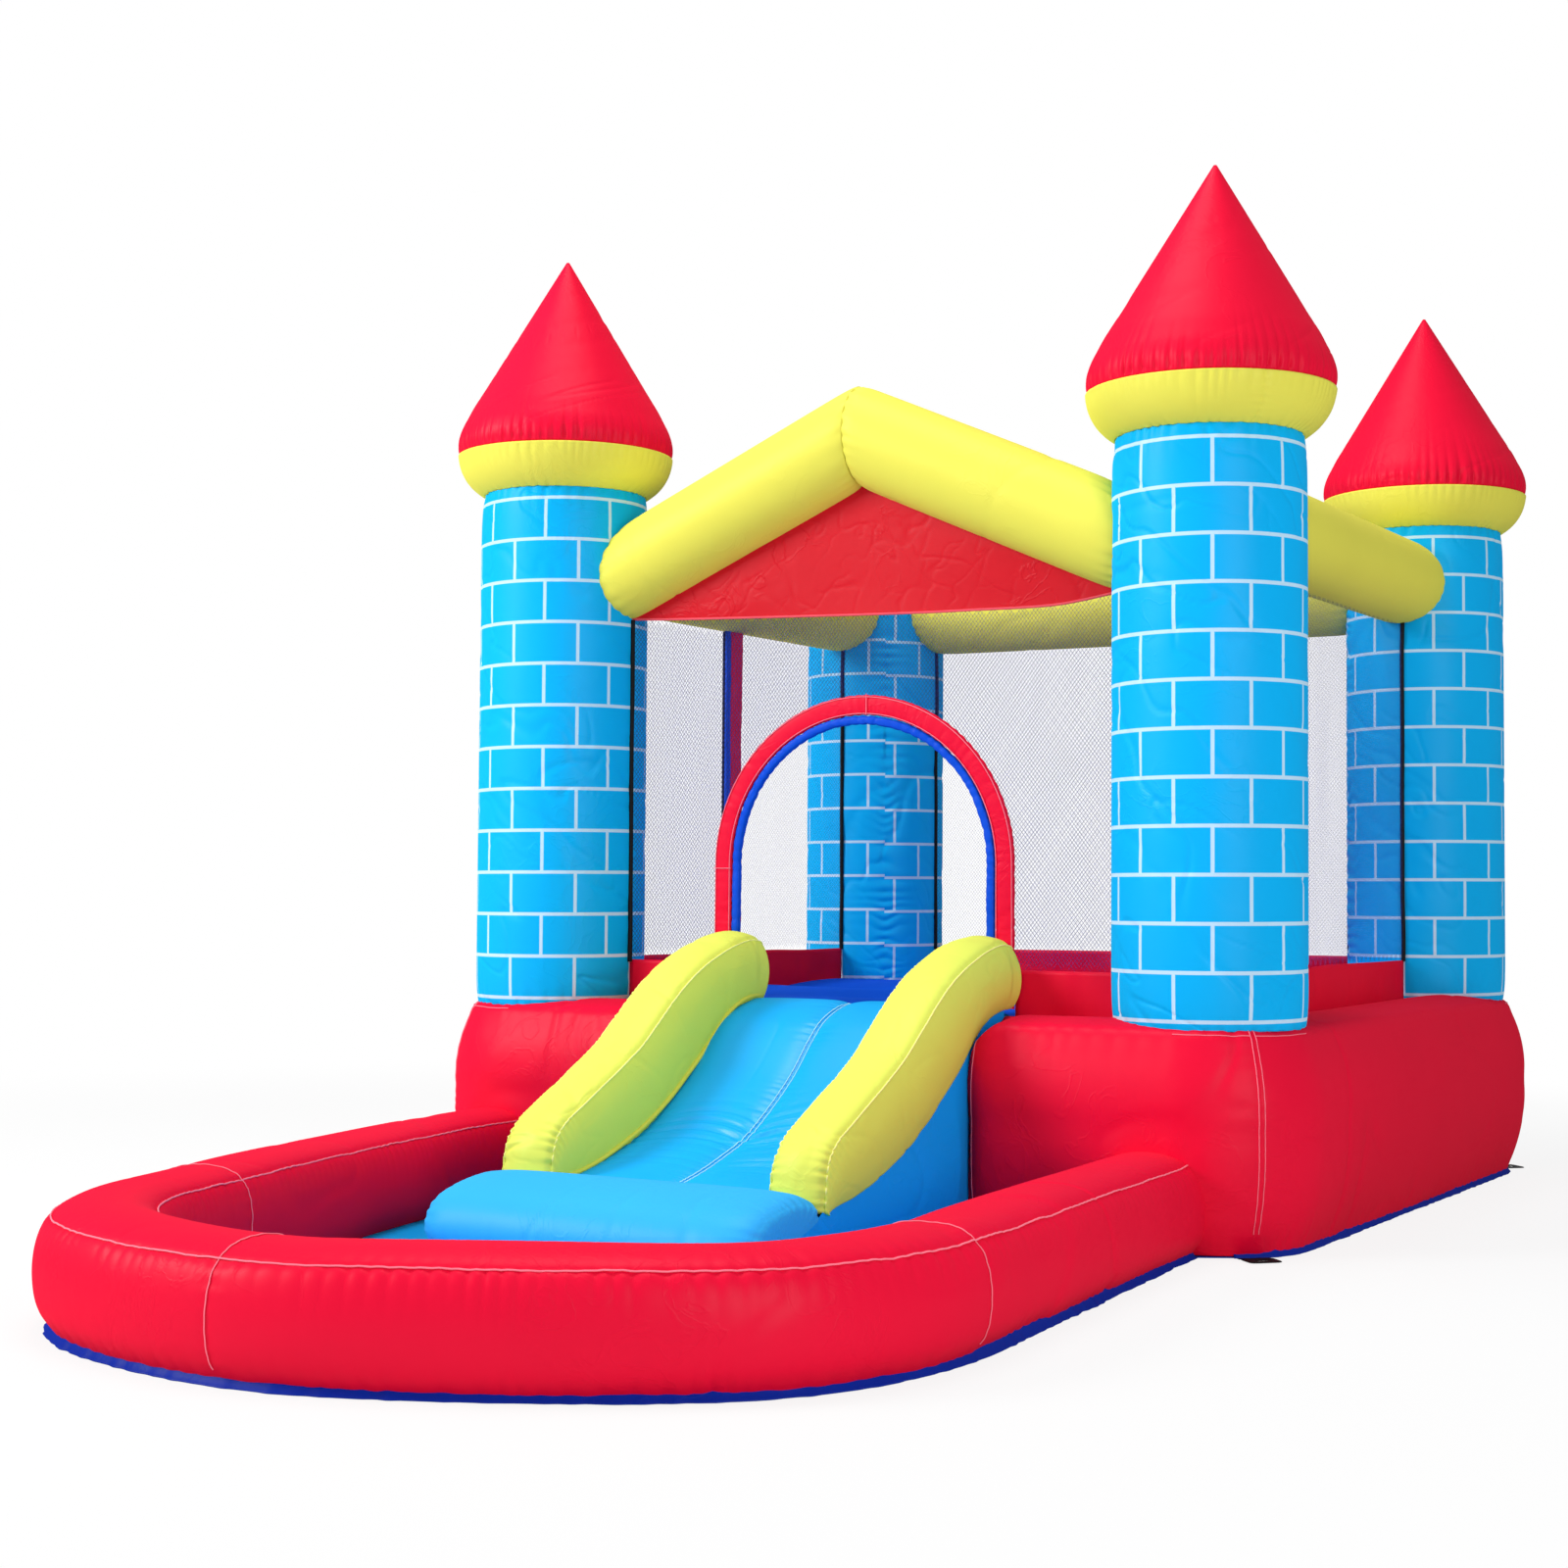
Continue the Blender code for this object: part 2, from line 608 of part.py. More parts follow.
def rim_section():
    """Outward reach and height round the pool's rim, from its outer foot to its inner one."""
    outer = [(RIM_FOOT_SHARE, 0.02), (0.96, 0.22), (1.0, 0.48), (0.92, 0.75)]
    top = [(0.42, 0.975), (0.0, 1.0), (-0.42, 0.975)]
    inner = [(-0.74, 0.90), (-0.90, 0.72), (-0.94, 0.48), (-0.88, 0.22), (-0.72, 0.05)]
    lift = RIM_HEIGHT - CLOTH_Z
    points = [(reach * RIM_HALF_WIDTH, CLOTH_Z + share * lift) for reach, share in outer]
    points.append((RIM_FOOT_SHARE * RIM_HALF_WIDTH, RIM_SEAM_Z))
    return points + [(reach * RIM_HALF_WIDTH, CLOTH_Z + share * lift) for reach, share in top + inner]


def rim_frame(line, i):
    along = (line[min(i + 1, len(line) - 1)] - line[max(i - 1, 0)]).normalized()
    return Vector((-along.y, along.x))


def pool_line():
    """The rim's centre line with the index where each piece ends."""
    points = list(POOL_RIGHT)
    stops = [0, len(POOL_RIGHT) - 1]
    for piece in (POOL_FRONT_RIGHT, POOL_FRONT_LEFT, POOL_LEFT):
        points += piece[1:]
        stops.append(stops[-1] + len(piece) - 1)
    return smooth_line(points, RIM_STEPS), [stop * RIM_STEPS for stop in stops]


def make_pool(base_space):
    line, stops = pool_line()
    outward = [rim_frame(line, i) for i in range(len(line))]
    section = rim_section()
    for index, name in enumerate(POOL_PIECES):
        first, last = stops[index], stops[index + 1]
        rows = []
        for i in range(first, last + 1):
            along = Vector((outward[i].y, -outward[i].x))
            inset = (i == first and index > 0) - (i == last and index < 3)
            spot = line[i] + along * (inset * RIM_SLACK)
            row = []
            for reach, z in section:
                place = spot + outward[i] * reach
                row.append(Vector((place.x, place.y, z)))
            rows.append(row)
        piece = skin("pool_rim_" + name, rows, "red_cloth")
        if name in ("right", "left"):
            cut(piece, base_space)
    sheet = [line[i] + outward[i] * (RIM_FOOT_SHARE * RIM_HALF_WIDTH + TRIM) for i in range(len(line))]
    ground = flat_prism("ground_sheet", [tuple(point) for point in sheet], 0, SHEET, "blue_trim")
    under_base = flat_prism("sheet_under_base", rounded_plan(WALL_FOOT + TRIM), 0, SHEET, "blue_trim")
    joined = ground.modifiers.new("join", "BOOLEAN")
    joined.operation = "UNION"
    joined.object = as_cutter(under_base)
    floor = [line[i] - outward[i] * (RIM_FLOOR_SHARE * RIM_HALF_WIDTH) for i in range(len(line))]
    plan = [tuple(point) for point in floor]
    basin = flat_prism("pool_floor", plan, CLOTH_Z, CLOTH_Z + SKIN, "slide_cloth")
    half = SLIDE_HALF_WIDTH + SEAM
    corner = [(-half, TOE_FRONT_Y - SEAM), (half, TOE_FRONT_Y - SEAM), (half, 0.0), (-half, 0.0)]
    slide_space = as_cutter(flat_prism("slide_space", corner, -SHEET, TOE_HEIGHT, "slide_cloth"))
    cut(basin, base_space, slide_space)


def inlet_tube(name, radius, start_y, length):
    """A round tube along Y through the back wall, for the sleeve or its hole."""
    centre_z = INLET_RADIUS + CLOTH_Z + SKIN
    ring = [2 * math.pi * j / BEAM_SIDES for j in range(BEAM_SIDES)]
    points = [(INLET_X + radius * math.cos(a), centre_z + radius * math.sin(a)) for a in ring]
    return front_prism(name, points, start_y, start_y + length, "red_cloth")


def make_inlet_and_zip():
    outside = TOWER_DEPTH + WALL_BULGE
    centre_z = INLET_RADIUS + CLOTH_Z + SKIN
    ring = [2 * math.pi * j / BEAM_SIDES for j in range(BEAM_SIDES)]

    def loop(radius, y):
        return [Vector((INLET_X + radius * math.cos(a), y, centre_z + radius * math.sin(a))) for a in ring]

    back = TOWER_DEPTH + WALL_FOOT
    mouth = outside + INLET_LENGTH
    tube = [loop(INLET_RADIUS, back), loop(INLET_RADIUS, mouth)]
    skin("inlet_sleeve", tube, "red_cloth", wrap=True, offset=1.0)
    clasp = INLET_RADIUS + STRAP_THICKNESS + SEAM
    strap_far = mouth - STRAP_WIDTH
    band = [loop(clasp, strap_far - STRAP_WIDTH), loop(clasp, strap_far)]
    strap = add_object("inlet_strap", grid_mesh("inlet_strap", band, wrap=True), "black_webbing")
    thicken(strap, STRAP_THICKNESS, 1.0)
    low = WALL_BULGE_Z - ZIP_HEIGHT / 2
    high = WALL_BULGE_Z + ZIP_HEIGHT / 2
    face = outside + SEAM
    half = ZIP_LENGTH / 2
    tape = [(ZIP_X - half, low), (ZIP_X + half, low), (ZIP_X + half, high), (ZIP_X - half, high)]
    front_prism("deflation_zip", tape, face, face + ZIP_THICKNESS, "black_webbing")
    slider_z = ZIP_HEIGHT / 4
    pull = [(-SLIDER_LENGTH / 2, -slider_z), (SLIDER_LENGTH / 2, -slider_z),
            (SLIDER_LENGTH / 2, slider_z), (-SLIDER_LENGTH / 2, slider_z)]
    slider = front_prism("zip_slider", pull, 0, 2 * ZIP_THICKNESS, "black_webbing")
    slider.location = (ZIP_X - half + SLIDER_LENGTH, face + ZIP_THICKNESS + SEAM, WALL_BULGE_Z)


def make_anchor_tabs():
    """Webbing tabs that fold up about the edge of the ground sheet at each corner."""
    for name, axis in TOWERS.items():
        facing = math.atan2(axis.y - TOWER_DEPTH / 2, axis.x)
        facing = math.radians(45 + 90 * math.floor(math.degrees(facing) / 90))
        half = TAB_WIDTH / 2
        hole_wide, hole_long = TAB_SLOT
        mesh_name = "anchor_tab_" + name
        plan = [(0, -half), (TAB_LENGTH, -half), (TAB_LENGTH, half), (0, half)]
        tab = flat_prism(mesh_name, plan, 0, TAB_THICKNESS, "black_webbing")
        middle = TAB_LENGTH * TAB_SLOT_SHARE
        slot = [(middle - hole_long / 2, -hole_wide / 2), (middle + hole_long / 2, -hole_wide / 2),
                (middle + hole_long / 2, hole_wide / 2), (middle - hole_long / 2, hole_wide / 2)]
        hole = as_cutter(flat_prism("slot_" + name, slot, -TAB_THICKNESS, 2 * TAB_THICKNESS, "black_webbing"))
        cut(tab, hole)
        reach = WALL_FOOT + TRIM + SEAM
        place = axis + Vector((math.cos(facing), math.sin(facing), 0)) * reach
        for piece in (tab, hole):
            piece.location = place
            piece.rotation_euler = (0, 0, facing)


def centre_house():
    """Moves the house so that the origin is the middle of its footprint."""
    bpy.context.view_layer.update()
    seen = bpy.context.evaluated_depsgraph_get()
    corners = []
    for piece in bpy.context.scene.objects:
        if piece.type == "MESH" and not piece.hide_render:
            made = piece.evaluated_get(seen)
            corners += [made.matrix_world @ Vector(corner) for corner in made.bound_box]
    low = [min(corner[i] for corner in corners) for i in range(2)]
    high = [max(corner[i] for corner in corners) for i in range(2)]
    HOUSE.location = (-(low[0] + high[0]) / 2, -(low[1] + high[1]) / 2, 0)
    print("house moved by", [round(value, 6) for value in HOUSE.location])


clear_scene()
HOUSE = bpy.data.objects.new("house", None)
bpy.context.scene.collection.objects.link(HOUSE)
tower_space = tower_cutters()
make_towers()
make_roof(tower_space)
make_base(tower_space)
make_front_net()
make_side_nets()
make_skirts()
make_slide()
make_pool(base_cutter())
make_inlet_and_zip()
make_anchor_tabs()
centre_house()
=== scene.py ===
# %% [markdown]
# # A bounce house, dressed cloth by cloth
# A bounce house is sewn from coated cloth and held up by air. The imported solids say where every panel
# is and how big it is, and this lesson sews a finer panel over each of them.

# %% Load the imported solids
import math

import bpy
import numpy as np
from mathutils import Matrix, Vector


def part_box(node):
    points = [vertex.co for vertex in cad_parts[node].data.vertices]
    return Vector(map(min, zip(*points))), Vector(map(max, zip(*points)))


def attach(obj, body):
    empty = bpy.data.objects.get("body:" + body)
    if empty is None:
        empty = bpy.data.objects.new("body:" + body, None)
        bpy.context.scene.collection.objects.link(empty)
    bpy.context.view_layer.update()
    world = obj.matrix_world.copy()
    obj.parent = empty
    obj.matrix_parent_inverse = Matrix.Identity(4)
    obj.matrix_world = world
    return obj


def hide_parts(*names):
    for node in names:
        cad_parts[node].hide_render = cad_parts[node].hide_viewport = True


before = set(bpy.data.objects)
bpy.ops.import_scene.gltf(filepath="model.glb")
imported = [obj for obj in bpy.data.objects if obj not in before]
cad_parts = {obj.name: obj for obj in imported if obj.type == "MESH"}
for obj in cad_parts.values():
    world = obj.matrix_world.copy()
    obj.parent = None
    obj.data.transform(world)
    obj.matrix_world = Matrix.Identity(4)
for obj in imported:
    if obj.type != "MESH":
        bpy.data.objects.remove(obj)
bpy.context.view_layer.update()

# %% [markdown]
# ## Measures
# The sizes come from the boxes of the solids, so the cloth follows them. All shapes below are drawn with the
# front towers standing on the line y = 0, and HOUSE_Y moves them to their place in the frame.

# %% Read the main measures from the solids
def middle(node, axis):
    low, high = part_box(node)
    return (low[axis] + high[axis]) / 2


def half_width(node):
    low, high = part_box(node)
    return (high.x - low.x) / 2


def depth_span(node):
    """Where a solid starts and ends in y, from the front towers' line."""
    return [corner.y - HOUSE_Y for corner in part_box(node)]


HOUSE_Y = middle("collar_front_left", 1)
TOWER_X = middle("collar_front_right", 0)
TOWER_DEPTH = middle("collar_back_left", 1) - HOUSE_Y
TOWER_LOW, TOWER_HIGH = (corner.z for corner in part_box("tower_front_left"))
TOWER_RADIUS = half_width("tower_front_left")
COLLAR_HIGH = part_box("collar_front_left")[1].z
BEAM_RADIUS = half_width("roof_beam_right")
BEAM_Z = middle("roof_beam_right", 2)
HANDS = {"left": -1, "right": 1}
TOWERS = {"front_left": (-TOWER_X, 0.0), "front_right": (TOWER_X, 0.0),
          "back_right": (TOWER_X, TOWER_DEPTH), "back_left": (-TOWER_X, TOWER_DEPTH)}
print("towers", round(TOWER_X, 4), round(TOWER_DEPTH, 4), "radius", round(TOWER_RADIUS, 4),
      "beam", round(BEAM_RADIUS, 4), round(BEAM_Z, 4), "house y", round(HOUSE_Y, 5))

# %% [markdown]
# ## Camera
# The camera stands right of the house at the height of a child's eyes, where the photograph was taken from.
# A camera can be aimed with a constraint, but a matrix built from yaw, pitch and roll keeps the slight tilt.

# %% Set the camera
EYE = (2.61115, -4.76054, 0.72516)
YAW, PITCH, ROLL = 0.533389, 0.041717, 0.006874
FOCAL_SHARE = 2483.04 / 1600


def aim_camera():
    ahead = np.array([-math.sin(YAW) * math.cos(PITCH), math.cos(YAW) * math.cos(PITCH), math.sin(PITCH)])
    level = np.array([math.cos(YAW), math.sin(YAW), 0.0])
    upright = np.cross(level, ahead)
    right = level * math.cos(ROLL) + upright * math.sin(ROLL)
    above = upright * math.cos(ROLL) - level * math.sin(ROLL)
    lens = bpy.data.cameras.new("camera")
    lens.sensor_width = 36
    lens.lens = FOCAL_SHARE * lens.sensor_width
    lens.clip_end = 60
    camera = bpy.data.objects.new("camera", lens)
    turn = Matrix([list(row) for row in np.stack([right, above, -ahead], axis=1)]).to_4x4()
    turn.translation = (EYE[0], EYE[1] + HOUSE_Y, EYE[2])
    camera.matrix_world = turn
    bpy.context.scene.collection.objects.link(camera)
    bpy.context.scene.camera = camera
    return camera


print("lens", round(aim_camera().data.lens, 2), "mm")

# %% [markdown]
# ## Shader sums as Python
# A material is a graph of nodes. Wrapping a socket in a small class lets a pattern be written as an ordinary
# sum, and each operator adds the Math node that it stands for.

# %% Wire: a socket that can be added, multiplied and mixed
class Wire:
    """A socket in a material. Sums of wires and numbers add Math nodes; node() adds any other node."""

    def __init__(self, tree, socket=None):
        self.tree = tree
        self.socket = socket

    def node(self, kind, settings=None, inputs=None, out=0):
        made = self.tree.nodes.new(kind)
        for name, value in (settings or {}).items():
            setattr(made, name, value)
        for name, value in (inputs or {}).items():
            if isinstance(value, Wire):
                self.tree.links.new(value.socket, made.inputs[name])
            else:
                made.inputs[name].default_value = value
        return Wire(self.tree, made.outputs[out] if len(made.outputs) else None)

    def maths(self, operation, *terms):
        return self.node("ShaderNodeMath", {"operation": operation}, dict(enumerate(terms)))

    def __add__(self, other):
        return self.maths("ADD", self, other)

    def __sub__(self, other):
        return self.maths("SUBTRACT", self, other)

    def __rsub__(self, other):
        return self.maths("SUBTRACT", other, self)

    def __mul__(self, other):
        return self.maths("MULTIPLY", self, other)

    def __truediv__(self, other):
        return self.maths("DIVIDE", self, other)

    def __mod__(self, other):
        return self.maths("FLOORED_MODULO", self, other)

    def __abs__(self):
        return self.maths("ABSOLUTE", self)

    def floor(self):
        return self.maths("FLOOR", self)

    def near(self, edge, soft):
        """1 where the value is below edge, falling to 0 over soft."""
        limits = {"Value": self, "From Min": edge, "From Max": edge + soft, "To Min": 1.0, "To Max": 0.0}
        return self.node("ShaderNodeMapRange", {"interpolation_type": "SMOOTHSTEP"}, limits)

    def mix(self, first, second):
        """A colour between first and second, by this value."""
        return self.node("ShaderNodeMix", {"data_type": "RGBA"}, {0: self, 6: first, 7: second}, out=2)


print("wire ready")

# %% [markdown]
# A few short recipes turn up in most finishes: noise that keeps to the piece's own space, the two directions of
# the cloth, a blend of two shaders, and the output that a finish ends with.

# %% Short recipes for every finish
WHITE = (1.0, 1.0, 1.0, 1.0)


def new_finish(name):
    finish = bpy.data.materials.new(name)
    finish.use_nodes = True
    finish.node_tree.nodes.clear()
    return finish, Wire(finish.node_tree)


def noise(start, scale, detail, distortion=0.0):
    place = start.node("ShaderNodeTexCoord", out="Object")
    return start.node("ShaderNodeTexNoise", {}, {"Vector": place, "Scale": scale, "Detail": detail,
                                                 "Distortion": distortion})


def cloth_uv(start):
    uv = start.node("ShaderNodeUVMap", {"uv_map": "cloth"})
    return [start.node("ShaderNodeSeparateXYZ", {}, {0: uv}, out=axis) for axis in ("X", "Y")]


def bump(start, strength, distance, height):
    return start.node("ShaderNodeBump", {}, {"Strength": strength, "Distance": distance, "Height": height})


def blend(start, share, first, second):
    return start.node("ShaderNodeMixShader", {}, {0: share, 1: first, 2: second})


def surface(start, shader):
    start.node("ShaderNodeOutputMaterial", {}, {"Surface": shader})


print("finish recipes ready")

# %% [markdown]
# ## Light and floor
# Soft light from the upper left front, with a bright pale room for fill, gives the photograph's gentle shading.
# The floor is pale and keeps a faint shadow; to the camera it is mostly plain white.

# %% Light the room
ROOM_GLOW = 0.38
LAMP_SIZE = 3.0


def plain_view(start):
    """1 for rays from the camera, and for those that a shiny or clear surface passes on."""
    kinds = ("Is Camera Ray", "Is Glossy Ray", "Is Transmission Ray")
    camera, glossy, clear = [start.node("ShaderNodeLightPath", out=kind) for kind in kinds]
    return start.maths("MAXIMUM", camera, start.maths("MAXIMUM", glossy, clear))


def make_room():
    world = bpy.data.worlds.new("room")
    bpy.context.scene.world = world
    world.use_nodes = True
    world.node_tree.nodes.clear()
    start = Wire(world.node_tree)
    room, white = [start.node("ShaderNodeBackground", {}, {"Color": WHITE, "Strength": strength})
                   for strength in (ROOM_GLOW, 1.0)]
    start.node("ShaderNodeOutputWorld", {}, {"Surface": blend(start, plain_view(start), room, white)})


def make_lamp(name, place, target, energy):
    lamp = bpy.data.lights.new(name, "AREA")
    lamp.shape = "DISK"
    lamp.size = LAMP_SIZE
    lamp.energy = energy
    item = bpy.data.objects.new(name, lamp)
    item.location = place
    item.rotation_euler = Vector(np.subtract(target, place)).to_track_quat("-Z", "Y").to_euler()
    bpy.context.scene.collection.objects.link(item)


make_room()
make_lamp("key_light", (-4.6, -5.0, 4.0), (0.0, -0.2, 0.7), 410)
make_lamp("fill_light", (5.2, -3.6, 2.0), (0.0, -0.2, 0.5), 120)
make_lamp("top_light", (-0.6, -0.6, 5.8), (0.0, 0.0, 0.5), 145)
bpy.context.scene.view_settings.view_transform = "Standard"
print("room and three lamps")

# %% Lay the floor
FLOOR_REACH = 30.0
FLOOR_DROP = 0.0005
SHADOW_SHARE = 0.14


def make_floor():
    finish, start = new_finish("pale_floor")
    place = start.node("ShaderNodeTexCoord", out="Object")
    away = start.node("ShaderNodeVectorMath", {"operation": "LENGTH"}, {0: place}, out="Value")
    pale = start.node("ShaderNodeBsdfPrincipled", {}, {"Base Color": (0.76, 0.76, 0.76, 1.0), "Roughness": 0.9})
    glow = start.node("ShaderNodeEmission", {}, {"Color": WHITE, "Strength": 1.0})
    surface(start, blend(start, plain_view(start) * (1 - away.near(2.6, 2.4) * SHADOW_SHARE), pale, glow))
    mesh = bpy.data.meshes.new("floor")
    corners = [(x * FLOOR_REACH, y * FLOOR_REACH, 0) for x, y in ((-1, -1), (1, -1), (1, 1), (-1, 1))]
    mesh.from_pydata(corners, [], [(0, 1, 2, 3)])
    floor = bpy.data.objects.new("floor", mesh)
    floor.location.z = -FLOOR_DROP
    mesh.materials.append(finish)
    bpy.context.scene.collection.objects.link(floor)


make_floor()
print("floor laid")

# %% [markdown]
# ## Coated cloth
# Every panel is woven polyester with a thin coat. Close up it shows its weave and fine creases, and further away
# a soft sheen. One recipe takes the colour and gives each cloth its own finish.

# %% The cloth recipe
WEAVE_PITCH = 0.0016
GLINT = 0.009
SHEEN = 0.02


def colour(red, green, blue):
    """A colour as it is read on screen, from 0 to 255, in the linear values that shaders use."""
    parts = [value / 255 for value in (red, green, blue)]
    return tuple(p / 12.92 if p <= 0.04045 else ((p + 0.055) / 1.055) ** 2.4 for p in parts) + (1.0,)


def shade(tone, share):
    return tuple(value * share for value in tone[:3]) + (1.0,)


def cloth_relief(start, crease):
    """Weave and fine creases as a normal."""
    across, along = cloth_uv(start)
    turns = 2 * math.pi / WEAVE_PITCH
    threads = start.maths("SINE", across * turns) * start.maths("SINE", along * turns)
    wander, patch, soft = noise(start, 9.0, 3.0, 1.6), noise(start, 3.1, 1.0), noise(start, 26.0, 2.0)
    line = abs(wander - 0.5).near(0.0, 0.035) * (1 - patch.near(0.46, 0.14))
    return bump(start, 0.6, 0.001, threads * 0.03 + line * crease + soft * (0.5 * crease))


def finish_cloth(start, base, roughness=0.40, crease=0.5, gloss=GLINT):
    shine = noise(start, 5.0, 4.0) * 0.16 + (roughness - 0.08)
    relief = cloth_relief(start, crease)
    dull = start.node("ShaderNodeBsdfPrincipled", {}, {
        "Base Color": base, "Roughness": shine, "Normal": relief,
        "Specular IOR Level": 0.0, "Sheen Weight": SHEEN, "Sheen Roughness": 0.5})
    glint = start.node("ShaderNodeBsdfGlossy", {}, {"Color": WHITE, "Roughness": shine, "Normal": relief})
    surface(start, blend(start, gloss, dull, glint))


def coated_cloth(name, tone, **feel):
    finish, start = new_finish(name)
    finish_cloth(start, noise(start, 2.4, 3.0).mix(shade(tone, 0.93), shade(tone, 1.05)), **feel)
    return finish


def net_filament(name, tone, cover):
    """Fine yarn. Threads this thin hide only part of what is behind them."""
    finish, start = new_finish(name)
    fuzz = noise(start, 300.0, 2.0)
    surface(start, start.node("ShaderNodeBsdfPrincipled", {}, {
        "Base Color": fuzz.mix(shade(tone, 0.8), shade(tone, 1.2)), "Roughness": fuzz * 0.2 + 0.6, "Alpha": cover}))
    return finish


RED_CLOTH = coated_cloth("red_cloth", colour(230, 6, 52))
GABLE_CLOTH = coated_cloth("gable_cloth", colour(205, 18, 34), crease=1.1)
YELLOW_CLOTH = coated_cloth("yellow_cloth", colour(230, 225, 88))
RAIL_CLOTH = coated_cloth("rail_cloth", colour(228, 236, 98))
SLIDE_CLOTH = coated_cloth("slide_cloth", colour(4, 170, 246), roughness=0.34, gloss=0.03)
# The landing cushion's blue is the slide's blue with more red in it, made paler: a painted sheen of the light from
# above.
LANDING_CLOTH_PAINTED_SHEEN = coated_cloth("landing_cloth_painted_sheen", colour(52, 176, 246))
# The slide's sides carry the slide's blue a little darker in green: painted shade on the upright sides.
SIDE_CLOTH_PAINTED_SHADE = coated_cloth("slide_side_cloth_painted_shade", colour(10, 162, 252))
FLOOR_CLOTH = coated_cloth("floor_cloth", colour(0, 84, 224))
TRIM_CLOTH = coated_cloth("trim_cloth", colour(0, 40, 158))
PIPING_CLOTH = coated_cloth("piping_cloth", colour(0, 74, 208))
NET_YARN = net_filament("net_yarn", colour(56, 70, 170), 0.42)
FRONT_NET_YARN = net_filament("front_net_yarn", colour(30, 40, 140), 0.62)
BLACK_TAPE = coated_cloth("black_tape", colour(16, 16, 20), roughness=0.6, crease=0.1)
RED_THREAD = coated_cloth("red_thread", colour(248, 128, 148), roughness=0.6, crease=0.0)
HEM_TAPE = coated_cloth("hem_tape", colour(236, 84, 100), roughness=0.5, crease=0.3)
YELLOW_THREAD = coated_cloth("yellow_thread", colour(255, 252, 150), roughness=0.6, crease=0.0)
BLUE_THREAD = coated_cloth("blue_thread", colour(170, 232, 255), roughness=0.6, crease=0.0)
print("finishes:", len(bpy.data.materials))

# %% [markdown]
# ## Brick print
# The towers carry a running bond: eight bricks to a turn, every course moved on by half a brick. The print is drawn
# from the panel's own UV map, where u counts turns round the tower and v is metres below its top.

# %% The brick print
BRICKS_ROUND, COURSES = 8, 12
COURSE = 0.0972
FIRST_LINE = 0.029
MORTAR, MORTAR_SOFT = 0.0076, 0.0012
BRICK_LENGTH = 2 * math.pi * TOWER_RADIUS / BRICKS_ROUND


def brick_print(name, tone, lines):
    finish, start = new_finish(name)
    turn, down = cloth_uv(start)
    level = (down - FIRST_LINE) / COURSE
    course = level.floor()
    run = turn * BRICKS_ROUND + (course + 1) % 2 * 0.5
    from_line = abs((level + 0.5) % 1 - 0.5) * COURSE
    from_joint = abs((run + 0.5) % 1 - 0.5) * BRICK_LENGTH
    bed, joint = [away.near((MORTAR - MORTAR_SOFT) / 2, MORTAR_SOFT) for away in (from_line, from_joint)]
    inside = start.maths("GREATER_THAN", course, -0.5) * start.maths("LESS_THAN", course, COURSES - 0.5)
    mortar = start.maths("MAXIMUM", bed, joint * inside)
    blue = noise(start, 2.4, 3.0).mix(shade(tone, 0.95), shade(tone, 1.04))
    finish_cloth(start, mortar.mix(blue, lines))
    return finish


BRICK_CLOTH = brick_print("brick_cloth", colour(0, 178, 246), colour(190, 226, 250))
print("brick print ready")

# %% [markdown]
# ## Folds
# Value noise, gathers and creases are plain NumPy sums that give a whole panel's change at once. A gather is given by
# its depth, its reach from the seam and its pitch along it, and a crease by its depth and size, all in metres. The
# last number is a seed that picks the pattern, so every run makes the same folds.

# %% Noise, gathers and creases
def patchy(x, y, seed):
    """Smooth value noise from -1 to 1, the same on every run."""
    x, y = np.broadcast_arrays(np.asarray(x, float), np.asarray(y, float))
    cell_x, cell_y = np.floor(x).astype(np.int64), np.floor(y).astype(np.int64)
    part_x, part_y = x - cell_x, y - cell_y

    def corner(i, j):
        mixed = (cell_x + i) * 374761393 + (cell_y + j) * 668265263 + seed * 974634777
        mixed = np.bitwise_and(mixed, 0xFFFFFFFF)
        mixed = np.bitwise_and((mixed ^ (mixed >> 13)) * 1274126177, 0xFFFFFFFF)
        return (mixed ^ (mixed >> 16)) / 2.0 ** 31 - 1.0

    ease_x, ease_y = part_x ** 2 * (3 - 2 * part_x), part_y ** 2 * (3 - 2 * part_y)
    near = corner(0, 0) * (1 - ease_x) + corner(1, 0) * ease_x
    far = corner(0, 1) * (1 - ease_x) + corner(1, 1) * ease_x
    return near * (1 - ease_y) + far * ease_y


def pucker(away, along, depth, reach, pitch, seed):
    """Gathers beside a seam: sharp dips at uneven steps along it, fading with the distance from it."""
    phase = along / pitch + 0.9 * patchy(along / pitch * 0.37, 0.5, seed)
    swell = np.abs(np.sin(math.pi * phase))
    strength = 0.6 + 0.4 * patchy(along / (2.3 * pitch), 7.7, seed + 1)
    fade = reach * (0.75 + 0.45 * patchy(along / (1.3 * pitch), 3.3, seed + 2))
    return -depth * strength * (1 - swell) * np.exp(-np.abs(away) / fade)


def creases(x, y, depth, size, seed):
    """A few long soft folds that wander over a panel."""
    bend = 0.6 * patchy(x / size, y / size, seed)
    fold = patchy(x / size + bend, y / (2.5 * size) - bend, seed + 5)
    return -depth * np.exp(-(fold / 0.09) ** 2) * (0.5 + 0.5 * patchy(x / (2 * size), y / (2 * size), seed + 9))


def tuck(away, depth, reach):
    """A depth that fades with the distance from a seam or an end."""
    return depth * np.exp(-away / reach)


def rise(value, reach):
    """From 0 to 1 as the value grows from 0 to reach."""
    return np.clip(value / reach, 0, 1)


def squared(wave, power):
    """A sine or cosine with its rounds pushed out towards a square."""
    return np.sign(wave) * np.abs(wave) ** power


def full_turn(count):
    return np.linspace(0, 2 * math.pi, count, endpoint=False)


def crowded(count, share):
    """Steps from 0 to 1 that crowd towards both ends."""
    return share * (0.5 - 0.5 * np.cos(np.linspace(0, math.pi, count))) + (1 - share) * np.linspace(0, 1, count)


print("folds ready")

